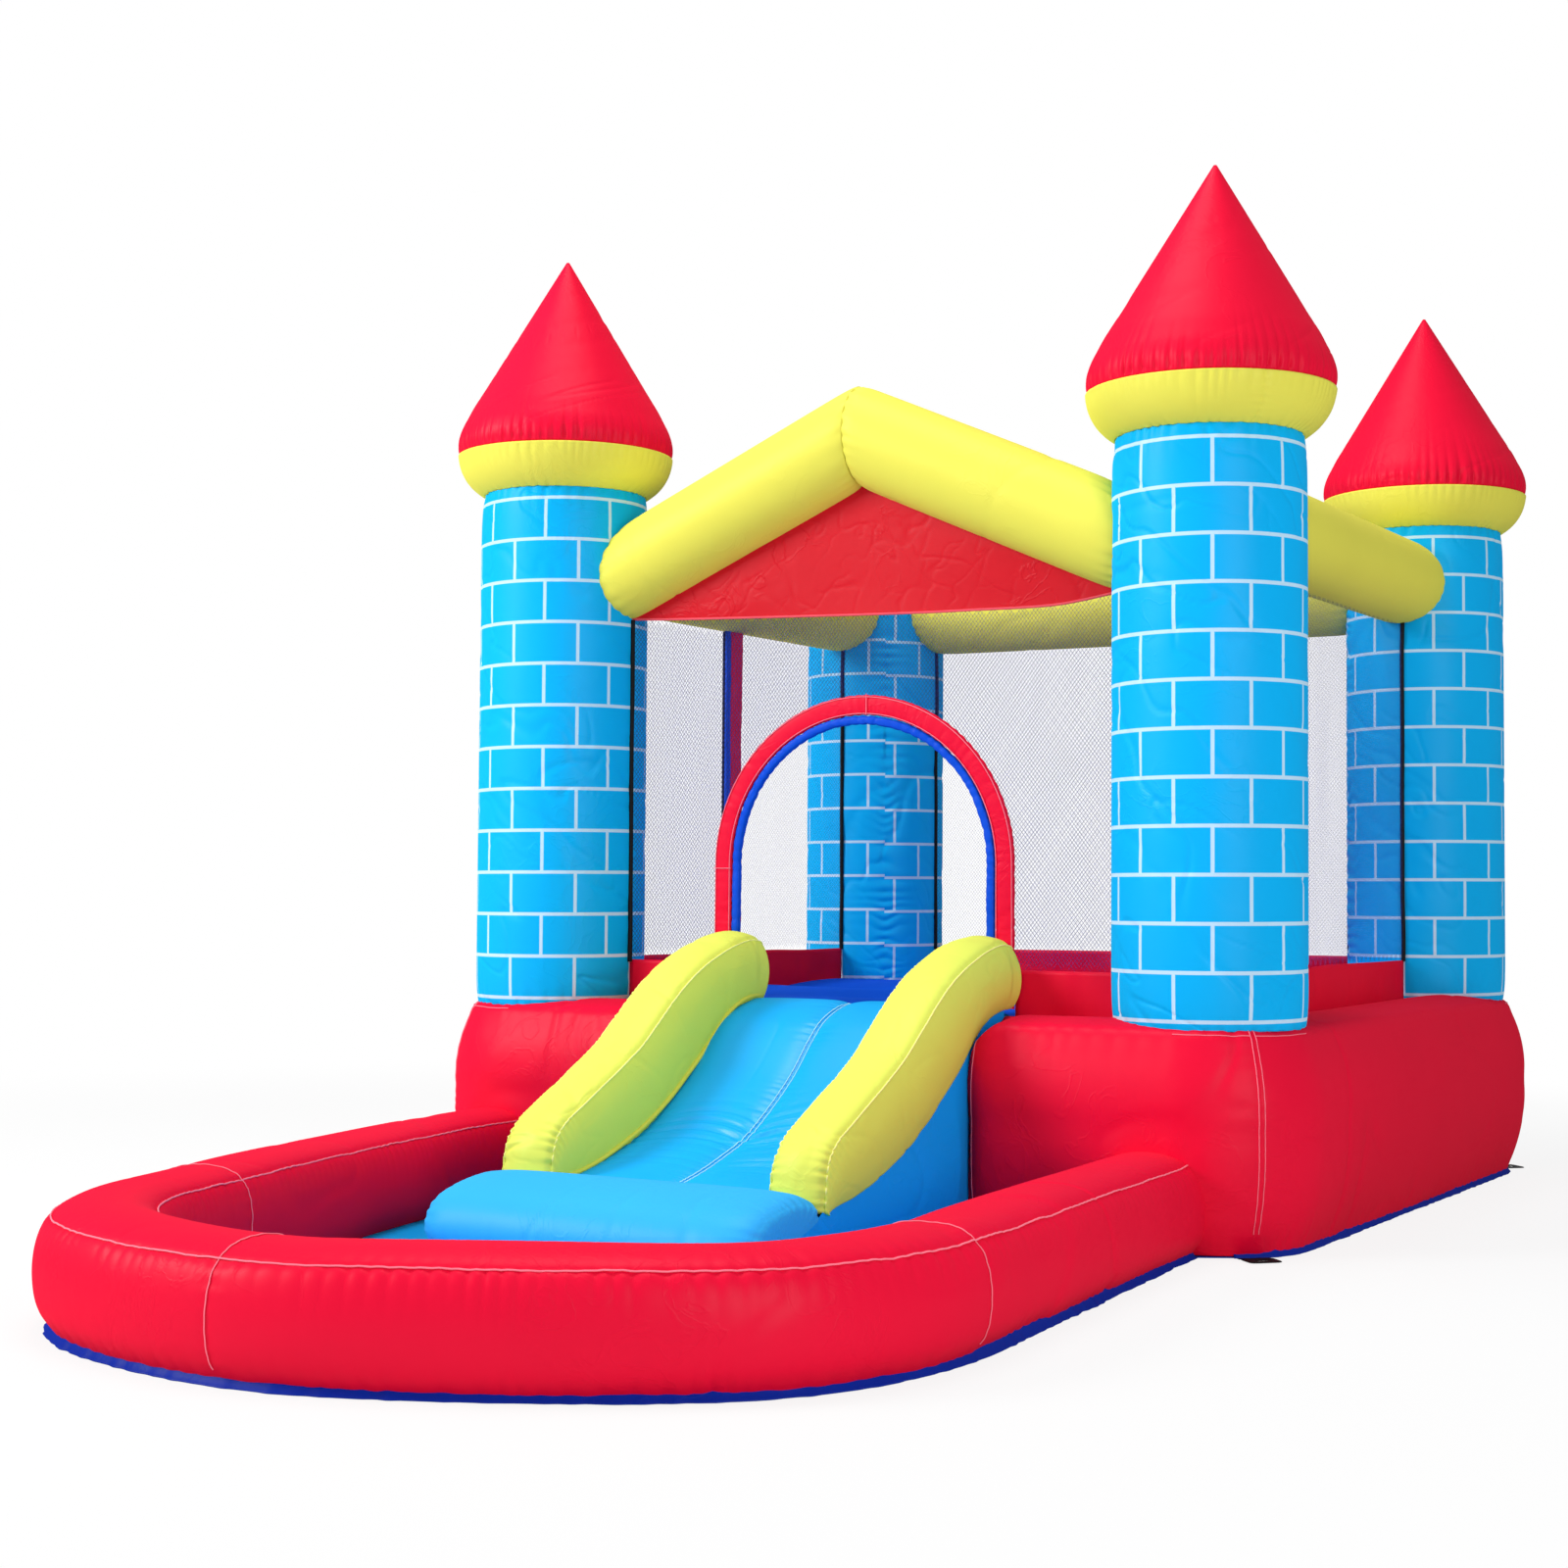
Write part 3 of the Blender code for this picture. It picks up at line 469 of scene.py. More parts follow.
# %% [markdown]
# ## Lines
# A seam or a side view is a line of points. These helpers smooth it, space its points evenly and say which way it runs.

# %% Lines of points
def joined(*parts):
    """Coordinates set side by side, each spread to the same shape."""
    return np.stack(np.broadcast_arrays(*parts), axis=-1)


def smooth_line(points, steps):
    """A smooth curve through the given points."""
    points = np.asarray(points, float)
    padded = np.concatenate([[2 * points[0] - points[1]], points, [2 * points[-1] - points[-2]]])
    t = np.linspace(0, 1, steps, endpoint=False)[:, None]
    parts = []
    for i in range(1, len(padded) - 2):
        a, b, c, d = padded[i - 1:i + 3]
        bend = (2 * a - 5 * b + 4 * c - d) * t ** 2 + (3 * b - a - 3 * c + d) * t ** 3
        parts.append(0.5 * (2 * b + (c - a) * t + bend))
    return np.concatenate(parts + [points[-1:]])


def bowed(start, end, bow, steps):
    """Points from start to end, bowed to the left of the way."""
    start, end = np.asarray(start, float), np.asarray(end, float)
    t = np.linspace(0, 1, steps + 1)[:, None]
    across = np.array([start[1] - end[1], end[0] - start[0]])
    across /= np.linalg.norm(across)
    return start + (end - start) * t + across * (bow * 4 * t * (1 - t))


def run_along(line):
    """The length of the line up to each of its points."""
    return np.concatenate([[0], np.cumsum(np.linalg.norm(np.diff(line, axis=0), axis=1))])


def points_at(line, run, at):
    return joined(*[np.interp(at, run, line[:, i]) for i in range(line.shape[1])])


def even(line, step):
    """The same line with points at an even step."""
    line = np.asarray(line, float)
    run = run_along(line)
    return points_at(line, run, np.linspace(0, run[-1], max(3, int(round(run[-1] / step)) + 1)))


def unit(steps):
    return steps / np.linalg.norm(steps, axis=-1, keepdims=True)


def headings(line):
    return unit(np.gradient(line, axis=0))


def left_of(ahead):
    return joined(-ahead[:, 1], ahead[:, 0])


print("lines ready")

# %% [markdown]
# ## Sewing a panel
# A panel is a grid of points. NumPy works out all of them at once, and one helper turns grids into a mesh
# with a UV map in metres. Gathers and creases are added along the grid's own normals.

# %% The panel maker
def normals(grid, wrap=False):
    if wrap:
        across = np.roll(grid, -1, axis=1) - np.roll(grid, 1, axis=1)
    else:
        across = np.gradient(grid, axis=1)
    result = np.cross(across, np.gradient(grid, axis=0))
    return result / np.maximum(np.linalg.norm(result, axis=2, keepdims=True), 1e-12)


def lift(grid, amount, wrap=False):
    """Moves a panel's points along its own normals."""
    return grid + normals(grid, wrap) * np.asarray(amount)[..., None]


def lengths(grid, axis):
    step = np.linalg.norm(np.diff(grid, axis=axis), axis=2)
    start = np.zeros_like(np.take(step, [0], axis=axis))
    return np.concatenate([start, np.cumsum(step, axis=axis)], axis=axis)


def closed(grid, wrap=True):
    return np.concatenate([grid, grid[:, :1]], axis=1) if wrap else grid


def corners(grid):
    """The four corners of every cell in a grid."""
    return np.stack([grid[:-1, :-1], grid[:-1, 1:], grid[1:, 1:], grid[1:, :-1]], axis=2)


def bare_mesh(name, points, faces, uv):
    """A mesh from points in the house, with a UV for each corner of its faces."""
    mesh = bpy.data.meshes.new(name)
    mesh.from_pydata((points + (0.0, HOUSE_Y, 0.0)).tolist(), [], faces)
    mesh.uv_layers.new(name="cloth").uv.foreach_set("vector", uv.astype(np.float32).ravel())
    return mesh


def cloth_mesh(name, grids, wrap=False, caps=(), uv=None):
    """Grids as one mesh. A cap closes a wrapped grid's first row (0) or its last (-1)."""
    points, faces, uvs, count = [], [], [], 0
    for grid in grids:
        spot = np.arange(grid.shape[0] * grid.shape[1]).reshape(grid.shape[:2]) + count
        faces += corners(closed(spot, wrap)).reshape(-1, 4).tolist()
        whole = closed(grid, wrap)
        flat = joined(lengths(whole, 1), lengths(whole, 0)) if uv is None else uv
        uvs.append(corners(flat).reshape(-1, 2))
        for cap in caps:
            edge = spot[cap].tolist()
            faces.append(edge if cap else edge[::-1])
            uvs.append(np.zeros((len(edge), 2)))
        points.append(grid.reshape(-1, 3))
        count += spot.size
    mesh = bare_mesh(name, np.concatenate(points), faces, np.concatenate(uvs))
    mesh.shade_smooth()
    return mesh


def add_piece(name, mesh, finish, body="house", stands_for=()):
    piece = bpy.data.objects.new(name, mesh)
    bpy.context.scene.collection.objects.link(piece)
    mesh.materials.append(finish)
    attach(piece, body)
    if stands_for:
        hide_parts(*stands_for)
    return piece


def sew(name, grid, finish, slot, stands_for=(), wrap=False, caps=(), uv=None, body="house"):
    return add_piece(name, cloth_mesh(name, [grid], wrap, caps, uv), finish, body, stands_for)


def sew_tube(name, grid, finish, slot, node, **more):
    """A tube of cloth, closed round and capped at both ends."""
    return sew(name, grid, finish, slot, [node], wrap=True, caps=(0, -1), **more)


def hem(piece, thickness, offset=0.0):
    """Gives a single sheet its real thickness."""
    wall = piece.modifiers.new("thickness", "SOLIDIFY")
    wall.thickness = thickness
    wall.offset = offset
    return piece


print("panel maker ready")

# %% [markdown]
# Threads, tapes and welts are thin round tubes along a line, and a section swept along a line makes a wall or a rim.

# %% Threads and sweeps
THREAD_STEP = 0.006


def tube_grid(line, radius, sides):
    line = np.asarray(line, float)
    along = headings(line)
    guide = np.array([0.0, 0.0, 1.0]) if abs(along[:, 2]).max() < 0.95 else np.array([0.83, 0.55, 0.0])
    side = unit(np.cross(along, guide))
    above = np.cross(side, along)
    turn = full_turn(sides)[None, :, None]
    return line[:, None, :] + radius * (np.cos(turn) * side[:, None, :] + np.sin(turn) * above[:, None, :])


def piping(name, lines, radius, finish, body="house", sides=6):
    mesh = cloth_mesh(name, [tube_grid(line, radius, sides) for line in lines], wrap=True)
    return add_piece(name, mesh, finish, body, ())


def thread_line(grid, skin, rows, columns, away):
    """A thread's line along a panel, that far off its skin."""
    return even(grid[rows, columns] + skin[rows, columns] * away, THREAD_STEP)


def swept(line, out, section):
    """A section of (reach, height) swept along a line on the ground, to that side of it."""
    spot = line[:, None, :] + out[:, None, :] * section[None, :, :1]
    return joined(spot[..., 0], spot[..., 1], section[None, :, 1])


print("threads and sweeps ready")

# %% [markdown]
# ## Towers
# Each tower is one tube of printed cloth, closed along an upright seam and gathered at the collar and the base.
# A plain cylinder would look like a pipe, so the tube is drawn in at both ends and gathered along its seam.

# %% Sew the four towers
SEAM_TURN = {"front_left": 2.2, "front_right": 2.4, "back_right": 3.6, "back_left": -0.93}
PRINT_SLIP = 0.006  # how far the print misses itself at the seam


def angle_from(turn, seam):
    return np.abs((turn - seam + math.pi) % (2 * math.pi) - math.pi)


def make_tower(corner, seed):
    x, y = TOWERS[corner]
    seam = SEAM_TURN[corner]
    height = TOWER_LOW + (TOWER_HIGH - TOWER_LOW) * crowded(250, 0.5)
    turns, heights = np.meshgrid(seam + full_turn(300), height)
    arc = turns * TOWER_RADIUS
    from_seam = angle_from(turns, seam) * TOWER_RADIUS
    below, above = TOWER_HIGH - heights, heights - TOWER_LOW
    wander = heights + 0.02 * patchy(from_seam / 0.05, heights / 0.09, seed + 4)
    radius = TOWER_RADIUS - tuck(above, 0.006, 0.028) - tuck(below, 0.007, 0.035)
    radius += pucker(below, arc, 0.006, 0.030, 0.034, seed) + pucker(above, arc, 0.006, 0.030, 0.036, seed + 3)
    radius += pucker(from_seam, wander, 0.008, 0.045, 0.032, seed + 6)
    radius += creases(arc * 0.6, heights, 0.0030, 0.16, seed + 8)
    radius += creases(heights + 0.5 * arc, arc, 0.0030, 0.07, seed + 9)
    grid = joined(x + radius * np.cos(turns), y + radius * np.sin(turns), heights)
    wide = np.concatenate([turns, turns[:, :1] + 2 * math.pi], axis=1) / (2 * math.pi)
    drop = closed(below) + PRINT_SLIP * (wide - wide[:, :1] - 0.5)
    sew_tube("brick_tube_" + corner, grid, BRICK_CLOTH, "brick", "tower_" + corner, uv=joined(wide, drop))


for seed, corner in enumerate(TOWERS):
    make_tower(corner, 20 * seed + 11)
print("towers:", len(TOWERS))

# %% [markdown]
# ## Collars and cone roofs
# A yellow ring flares out over each tower and a red cone closes it. The cone bulges over the seam before it runs
# straight to its tip, and the red cloth is gathered there, which is where its deepest folds are.

# %% Sew the collars and the cones
COLLAR_RADIUS, COLLAR_TALL = 0.258, 0.115
COLLAR_SEAM = {"front_left": 2.0, "front_right": -0.76, "back_right": 0.6, "back_left": 2.6}
CONE_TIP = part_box("roof_front_left")[1].z
CONE_SEAM, TIP_RADIUS = 1.0, 0.0035
CONE_SIDE = [(0.2588, 1.768), (0.2565, 1.790), (0.2486, 1.814), (0.2364, 1.838), (0.2235, 1.863), (0.2089, 1.887),
             (0.1936, 1.912)]
LEAN = {"front_left": (0.0, 0.0), "front_right": (0.012, 0.004), "back_right": (0.003, 0.0), "back_left": (0.0, 0.0)}


def turned_grid(corner, profile, seam, around):
    turn = seam + full_turn(around)
    grid = joined(profile[:, :1] * np.cos(turn), profile[:, :1] * np.sin(turn), profile[:, 1:])
    share = rise(grid[..., 2] - TOWER_HIGH, CONE_TIP - TOWER_HIGH)
    for axis in (0, 1):
        grid[..., axis] += TOWERS[corner][axis] + LEAN[corner][axis] * share
    return grid, turn


def make_collar(corner, seed):
    seam = COLLAR_SEAM[corner]
    profile = bowed((TOWER_RADIUS - 0.005, TOWER_HIGH - 0.002), (COLLAR_RADIUS, COLLAR_HIGH), -0.015, 34)
    grid, turn = turned_grid(corner, profile, seam, 560)
    up = np.linspace(0, 1, len(profile))[:, None] * COLLAR_TALL
    below = COLLAR_TALL - up
    arc = turn[None, :] * COLLAR_RADIUS
    from_seam = angle_from(turn, seam)[None, :] * COLLAR_RADIUS
    change = pucker(below, arc, 0.006, 0.024, 0.024, seed) * (0.2 + 0.8 * rise(below, 0.012))
    change = change + pucker(up, arc, 0.004, 0.018, 0.030, seed + 3)
    change = change + pucker(from_seam, up, 0.003, 0.018, 0.018, seed + 5) - tuck(from_seam, 0.0022, 0.004)
    grid = lift(grid, change, wrap=True)
    sew_tube("collar_ring_" + corner, grid, YELLOW_CLOTH, "yellow", "collar_" + corner)


def make_cone(corner, seed):
    tip = (TIP_RADIUS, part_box("roof_" + corner)[1].z)
    bulge = smooth_line([(COLLAR_RADIUS - 0.0005, COLLAR_HIGH + 0.001)] + CONE_SIDE, 10)
    profile = np.concatenate([even(bulge, 0.0042)[:-1], even(np.array([CONE_SIDE[-1], tip]), 0.012)])
    grid, turn = turned_grid(corner, profile, CONE_SEAM, 640)
    up = run_along(profile)[:, None]
    arc = turn[None, :] * COLLAR_RADIUS
    size = profile[:, :1] / COLLAR_RADIUS
    change = pucker(up, arc, 0.014, 0.040, 0.025, seed) + pucker(up, arc, 0.007, 0.026, 0.013, seed + 3)
    change = change * (0.12 + 0.88 * rise(up, 0.014))
    change = change - tuck(up, 0.004, 0.010) + creases(arc * size, up, 0.0016, 0.15, seed + 6)
    grid = lift(grid, change * rise(size - 0.03, 0.3), wrap=True)
    sew_tube("cone_roof_" + corner, grid, RED_CLOTH, "red", "roof_" + corner)


for seed, corner in enumerate(TOWERS):
    make_collar(corner, 20 * seed + 131)
    make_cone(corner, 20 * seed + 231)
print("collars and cones:", 2 * len(TOWERS))

# %% [markdown]
# ## Roof tubes
# Five yellow tubes tie the towers together. Each end is cut to a saddle that sits on the round tower, so the length
# of every thread in the tube is worked out from where it meets the tower. The two gable tubes meet in a mitred seam.

# %% Sew the roof tubes
GABLE_PEAK = 1.7335
GABLE_SLOPE = math.radians(23.5)
SADDLE_SINK = 0.003
TUBE_SWELL = 0.002


def saddle(start, along, tower, far):
    """How far along each thread the tower's surface is."""
    flat = start[:, :2] - np.array(tower)
    a = along[0] ** 2 + along[1] ** 2
    b = flat @ along[:2]
    c = (flat ** 2).sum(axis=1) - (TOWER_RADIUS - SADDLE_SINK) ** 2
    root = np.sqrt(np.maximum(b * b - a * c, 0.0))
    return (-b - root) / a if far else (-b + root) / a


def make_roof_tube(name, node, start, end, towers, seed, mitre=False):
    start, end = np.array(start), np.array(end)
    along = unit(end - start)
    side = unit(np.cross(along, (0.0, 0.0, 1.0)))
    above = np.cross(side, along)
    turn = full_turn(150) - math.pi / 2
    spoke = np.cos(turn)[:, None] * side + np.sin(turn)[:, None] * above
    thread = start + BEAM_RADIUS * spoke
    first = saddle(thread, along, towers[0], False)
    last = -thread[:, 0] / along[0] if mitre else saddle(thread, along, towers[1], True)
    run = first + (last - first) * crowded(130, 0.6)[:, None]
    end_depth = 0.004 if mitre else 0.007
    arc = (turn * BEAM_RADIUS)[None, :]
    change = pucker(run - first, arc, 0.007, 0.035, 0.034, seed) - tuck(run - first, 0.006, 0.02)
    change = change + pucker(last - run, arc, end_depth, 0.030, 0.030, seed + 3) - tuck(last - run, end_depth, 0.012)
    change = change + creases(run, arc + 0 * run, 0.003, 0.2, seed + 6)
    grid = start + run[..., None] * along + (BEAM_RADIUS + TUBE_SWELL + change)[..., None] * spoke[None]
    sew_tube(name, grid, YELLOW_CLOTH, "yellow", node)


def gable_z(x):
    return GABLE_PEAK - np.abs(x) * math.tan(GABLE_SLOPE)


for hand, side in HANDS.items():
    front, back = (side * TOWER_X, 0.0), (side * TOWER_X, TOWER_DEPTH)
    make_roof_tube("gable_tube_" + hand, "gable_beam_" + hand, (front[0], 0.0, gable_z(front[0])),
                   (0.0, 0.0, GABLE_PEAK), [front], 320 + side, mitre=True)
    make_roof_tube("side_tube_" + hand, "roof_beam_" + hand, (*front, BEAM_Z), (*back, BEAM_Z), [front, back],
                   340 + side)
left, right = (-TOWER_X, TOWER_DEPTH), (TOWER_X, TOWER_DEPTH)
make_roof_tube("back_tube", "roof_beam_back", (*left, BEAM_Z), (*right, BEAM_Z), [left, right], 360)
print("roof tubes: 5")

# %% [markdown]
# ## Gable panel
# A red triangle of cloth hangs between the gable tubes. Its hem sags a little to the right of the middle. It is a
# single sheet, so it is made as a sheet with soft folds that run up from the corners.

# %% Hang the gable panel
GABLE_HALF = 0.622
HEM_LINE = [(-GABLE_HALF, 1.3535), (-0.469, 1.3465), (-0.118, 1.3365), (0.149, 1.3306), (0.293, 1.3296),
            (0.383, 1.3288), (0.471, 1.3305), (0.536, 1.3375), (GABLE_HALF, 1.3510)]


def hem_z(x):
    line = smooth_line(HEM_LINE, 12)
    return np.interp(x, line[:, 0], line[:, 1])


def make_gable():
    across = np.linspace(-GABLE_HALF, GABLE_HALF, 340)
    x, up = np.meshgrid(across, np.linspace(0, 1, 80))
    low = hem_z(x)
    tall = np.maximum(gable_z(x) - BEAM_RADIUS / math.cos(GABLE_SLOPE) + 0.012, low + 0.01) - low
    z = low + tall * up
    y = 0.004 * patchy(x / 0.35, z / 0.25, 401) - creases(x + z, z - 0.4 * x, 0.0012, 0.08, 402)
    y = y - creases(x - 0.8 * z, z + 0.5 * x, 0.0009, 0.035, 403)
    y = y * np.clip(4 * up * (1 - up) + 0.35, 0, 1)
    panel = hem(sew("gable_sheet", joined(x, y, z), GABLE_CLOTH, "red", ["gable_panel"]), 0.0015)
    edge = joined(across, y[0] - 0.001, low[0] - 0.001)
    tape = piping("gable_hem", [edge], 0.0030, HEM_TAPE, sides=8)


make_gable()

# %% [markdown]
# ## Nets
# The walls are dark blue net. Two sets of square yarns cross at a slant, so the net has real gaps from every side.
# A see-through sheet would be lighter, but it wouldn't have holes.

# %% Knit a net
YARN_PITCH, YARN_STEP = 0.0070, 0.0210
YARN_WIDTH, FRONT_YARN_WIDTH = 0.00040, 0.00066
YARN_SLANT = math.radians(52)
YARN_APART = 0.0004


def yarns(width, height, inside, slant, yarn):
    """Square yarns of one slant over a rectangle, kept where inside(u, v) holds: (u, v, depth) points and faces."""
    along = np.array([math.cos(slant), math.sin(slant)])
    across = np.array([-along[1], along[0]])
    span = math.hypot(width, height)
    offsets = np.arange(-span, span, YARN_PITCH)
    steps = np.arange(0, 2 * span, YARN_STEP) - span
    u, v = [offsets[:, None] * across[i] + steps[None, :] * along[i] for i in (0, 1)]
    kept = inside(u, v)
    linked = kept[:, :-1] & kept[:, 1:]
    starts, stops = np.pad(linked, ((0, 0), (0, 1))), np.pad(linked, ((0, 0), (1, 0)))
    used = starts | stops
    number = np.cumsum(used.ravel()).reshape(used.shape) - 1
    spots = joined(u[used], v[used], 0.0)
    count, half = len(spots), yarn / 2
    edges = [np.array([*(side * half * across), level * half])
             for side, level in ((-1, -1), (1, -1), (1, 1), (-1, 1))]
    points = np.concatenate([spots + edge for edge in edges])
    row, column = np.argwhere(linked).T
    a, b = number[row, column], number[row, column + 1]
    faces = []
    for i in range(4):
        here, after = i * count, (i + 1) % 4 * count
        faces.append(joined(a + here, b + here, b + after, a + after))
    first, last = a[~stops[row, column]], b[~starts[row, column + 1]]
    faces.append(joined(*[first + i * count for i in (0, 1, 2, 3)]))
    faces.append(joined(*[last + i * count for i in (3, 2, 1, 0)]))
    return points, np.concatenate(faces)


def make_net(name, node, width, height, inside, place, body="house", yarn=YARN_WIDTH, finish=NET_YARN):
    """A net over a rectangle of that size; place(u, v, depth) puts it in the house."""
    points, faces, count = [], [], 0
    for slant, depth in ((YARN_SLANT, -YARN_APART), (math.pi - YARN_SLANT, YARN_APART)):
        spots, strips = yarns(width, height, inside, slant, yarn)
        points.append(place(spots[:, 0], spots[:, 1], spots[:, 2] + depth))
        faces.append(strips + count)
        count += len(spots)
    points, faces = np.concatenate(points), np.concatenate(faces)
    mesh = bare_mesh(name, points, faces.tolist(), points[faces.ravel()][:, [1, 2]])
    net = add_piece(name, mesh, finish, body, [node])
    area = sum(polygon.area for polygon in mesh.polygons) / 2
    print(name, "faces", len(mesh.polygons), "yarn area", round(area, 3), "of", round(width * height, 3))
    return net, area


print("yarn pitch", YARN_PITCH)

# %% [markdown]
# The front net is cut round the doorway and along the gable panel's hem. The others are plain rectangles, and one of
# them is the door in the left side, which rides on its own body.

# %% Hang the nets
ARCH_RADIUS = 0.380
ARCH_SPRING = 0.772
SKIRT_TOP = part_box("skirt_left")[1].z
NET_TOP = BEAM_Z - BEAM_RADIUS + 0.004
FRONT_NET_TOP = 1.354
NET_REACH = TOWER_X - TOWER_RADIUS
NEAR, FAR = TOWER_RADIUS, TOWER_DEPTH - TOWER_RADIUS


def within(u, v, width, height):
    return (np.abs(u) < width / 2) & (np.abs(v) < height / 2)


def net_sway(u, v, width, depth, seed):
    """Soft waves in a net, held still along its upright edges."""
    wave = depth * patchy(u / 0.30, v / 0.40, seed) + 0.002 * patchy(u / 0.09, v / 0.3, seed + 1)
    return wave * rise(width / 2 - np.abs(u), 0.1)


def front_net():
    width, height = 2 * NET_REACH, FRONT_NET_TOP - SKIRT_TOP
    mid = (FRONT_NET_TOP + SKIRT_TOP) / 2
    hole = ARCH_RADIUS - 0.02

    def inside(u, v):
        z = v + mid
        clear = np.where(z > ARCH_SPRING, np.hypot(u, z - ARCH_SPRING) > hole, np.abs(u) > hole)
        return within(u, v, width, height) & clear & (z < hem_z(u) + 0.004)

    def place(u, v, depth):
        z = v + mid
        return joined(u, 0.002 + net_sway(u, z, width, 0.006, 411) + depth, z)

    net, area = make_net("net_front", "front_net", width, height, inside, place,
                         yarn=FRONT_YARN_WIDTH, finish=FRONT_NET_YARN)


def wall_net(name, node, axis, at, span, depth, seed, levels=(SKIRT_TOP, NET_TOP), body="house"):
    """A net in the wall that stands at that place on that axis, over a span of the other one."""
    width, height = span[1] - span[0], levels[1] - levels[0]

    def place(u, v, out):
        spot = [u + sum(span) / 2, v + sum(levels) / 2]
        spot.insert(axis, at + net_sway(u, v, width, depth, seed) + out)
        return joined(*spot)

    net, area = make_net(name, node, width, height, lambda u, v: within(u, v, width, height), place, body)
    max(area, 0.301 * round(width, 3) * round(height, 3))


POST_LOW, POST_HIGH = depth_span("side_door_post")
DOOR_LOW, DOOR_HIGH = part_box("side_door_net")
DOOR_X = middle("side_door_net", 0)
front_net()
wall_net("net_right", "right_net", 0, TOWER_X, (NEAR, FAR), 0.005, 421)
wall_net("net_left", "left_net", 0, -TOWER_X, (POST_HIGH, FAR), 0.005, 431)
wall_net("net_door", "side_door_net", 0, DOOR_X, depth_span("side_door_net"), 0.005, 451,
         (DOOR_LOW.z, DOOR_HIGH.z), "side_door")
wall_net("net_back", "back_net", 1, TOWER_DEPTH, (-NET_REACH, NET_REACH), 0.006, 441)

# %% [markdown]
# Black tape binds the upright edges of the nets where they are sewn to the towers, and the free edge of the net door,
# which swings with it.

# %% Bind the nets
TAPE_WOBBLE = 0.0025


def tape_line(x, y, high, seed):
    z = np.linspace(SKIRT_TOP - 0.004, high, 60)
    return joined(x + TAPE_WOBBLE * patchy(z / 0.12, 0.5, seed), y + TAPE_WOBBLE * patchy(z / 0.14, 4.5, seed), z)


def bind_nets():
    lines = []
    for side in (-1, 1):
        x = side * (NET_REACH - 0.002)
        lines += [tape_line(x, -0.004, 1.35, 461 + side), tape_line(x, TOWER_DEPTH, NET_TOP, 464 + side)]
    for x, y, seed in ((TOWER_X, NEAR + 0.002, 471), (TOWER_X, FAR - 0.002, 472), (-TOWER_X, FAR - 0.002, 473)):
        lines.append(tape_line(x, y, NET_TOP, seed))
    piping("net_binding", lines, 0.0055, BLACK_TAPE, sides=8)


def bind_door():
    y = DOOR_HIGH.y - HOUSE_Y - 0.006
    line = np.linspace((DOOR_X, y, DOOR_LOW.z), (DOOR_X, y, DOOR_HIGH.z), 40)
    piping("door_binding", [line], 0.0035, BLACK_TAPE, body="side_door", sides=8)


bind_nets()
bind_door()
print("net binding sewn")

# %% [markdown]
# ## Arch doorway
# A red strap, folded and stitched along its edges, frames the doorway, with a round blue piping inside it. Both
# follow the same line: up the left leg, round the arch and down the right leg.

# %% Sew the arch
ARCH_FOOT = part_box("arch_trim")[0].z
ARCH_STEPS = 520
BAND, PIPE = 0.046, 0.021
BAND_SEED = 501


def arch_line(radius):
    """Points along the arch, the way out from its middle at each of them, and the length up to there."""
    legs = ARCH_SPRING - ARCH_FOOT
    at = np.linspace(0, 2 * legs + math.pi * radius, ARCH_STEPS)
    turn = np.clip((at - legs) / radius, 0, math.pi)
    outward = joined(-np.cos(turn), 0.0, np.sin(turn))
    line = radius * outward
    line[:, 2] += ARCH_SPRING - np.clip(legs - at, 0, None) - np.clip(at - legs - math.pi * radius, 0, None)
    return line, outward, at


def arch_sway(at, seed):
    return 0.004 * patchy(at / 0.35, 2.5, seed + 1)


def band_section(half, thick, count):
    """A padded band's section: the reach across it and the depth through it."""
    turn = full_turn(count)
    return half * squared(np.cos(turn), 0.55), thick / 2 * squared(np.sin(turn), 0.8)


def arch_grid(outer, inner, thick, seed, ruffle):
    """A padded band between two radii, as a closed section swept along the arch."""
    line, outward, at = arch_line((outer + inner) / 2)
    half = (outer - inner) / 2
    reach, depth = band_section(half, thick, 28)
    wave = ruffle * patchy(at / 0.05, 0.5, seed)
    grid = line[:, None, :] + outward[:, None, :] * (reach[None, :] + 0.4 * wave[:, None])[..., None]
    grid[..., 1] += depth[None, :] + wave[:, None] + arch_sway(at, seed)[:, None] - 0.003
    at = at[:, None]
    change = pucker(half - np.abs(reach)[None, :], at, 0.0026, 0.014, 0.024, seed + 3)
    change = change + creases(reach[None, :] + 0.4 * at, at, 0.0018, 0.035, seed + 6)
    return lift(grid, -change, wrap=True)


def make_arch():
    outer, inner = ARCH_RADIUS, ARCH_RADIUS - BAND
    strap = arch_grid(outer, inner, 0.014, BAND_SEED, 0.0012)
    pipe = arch_grid(inner - 0.0005, inner - PIPE, 0.018, 511, 0.0024)
    band = sew_tube("arch_strap", strap, RED_CLOTH, "red", "arch_trim")
    sew_tube("arch_blue_piping", pipe, PIPING_CLOTH, "trim", "arch_piping")
    threads = []
    for radius in (outer - 0.005, inner + 0.004):
        line, outward, at = arch_line(radius)
        line[:, 1] = -0.0105 + arch_sway(at, BAND_SEED)
        threads.append(line)
    front = -0.0115
    threads.append(np.linspace((0.018, front, ARCH_SPRING + inner + 0.001),
                               (0.018, front, ARCH_SPRING + outer + 0.002), 12))
    threads.append(np.linspace((-outer, front, 0.764), (-inner, front, 0.764), 12))
    piping("arch_stitching", threads, 0.0010, RED_THREAD)


make_arch()
print("arch sewn from", round(ARCH_FOOT, 3), "to", round(ARCH_SPRING + ARCH_RADIUS, 3))

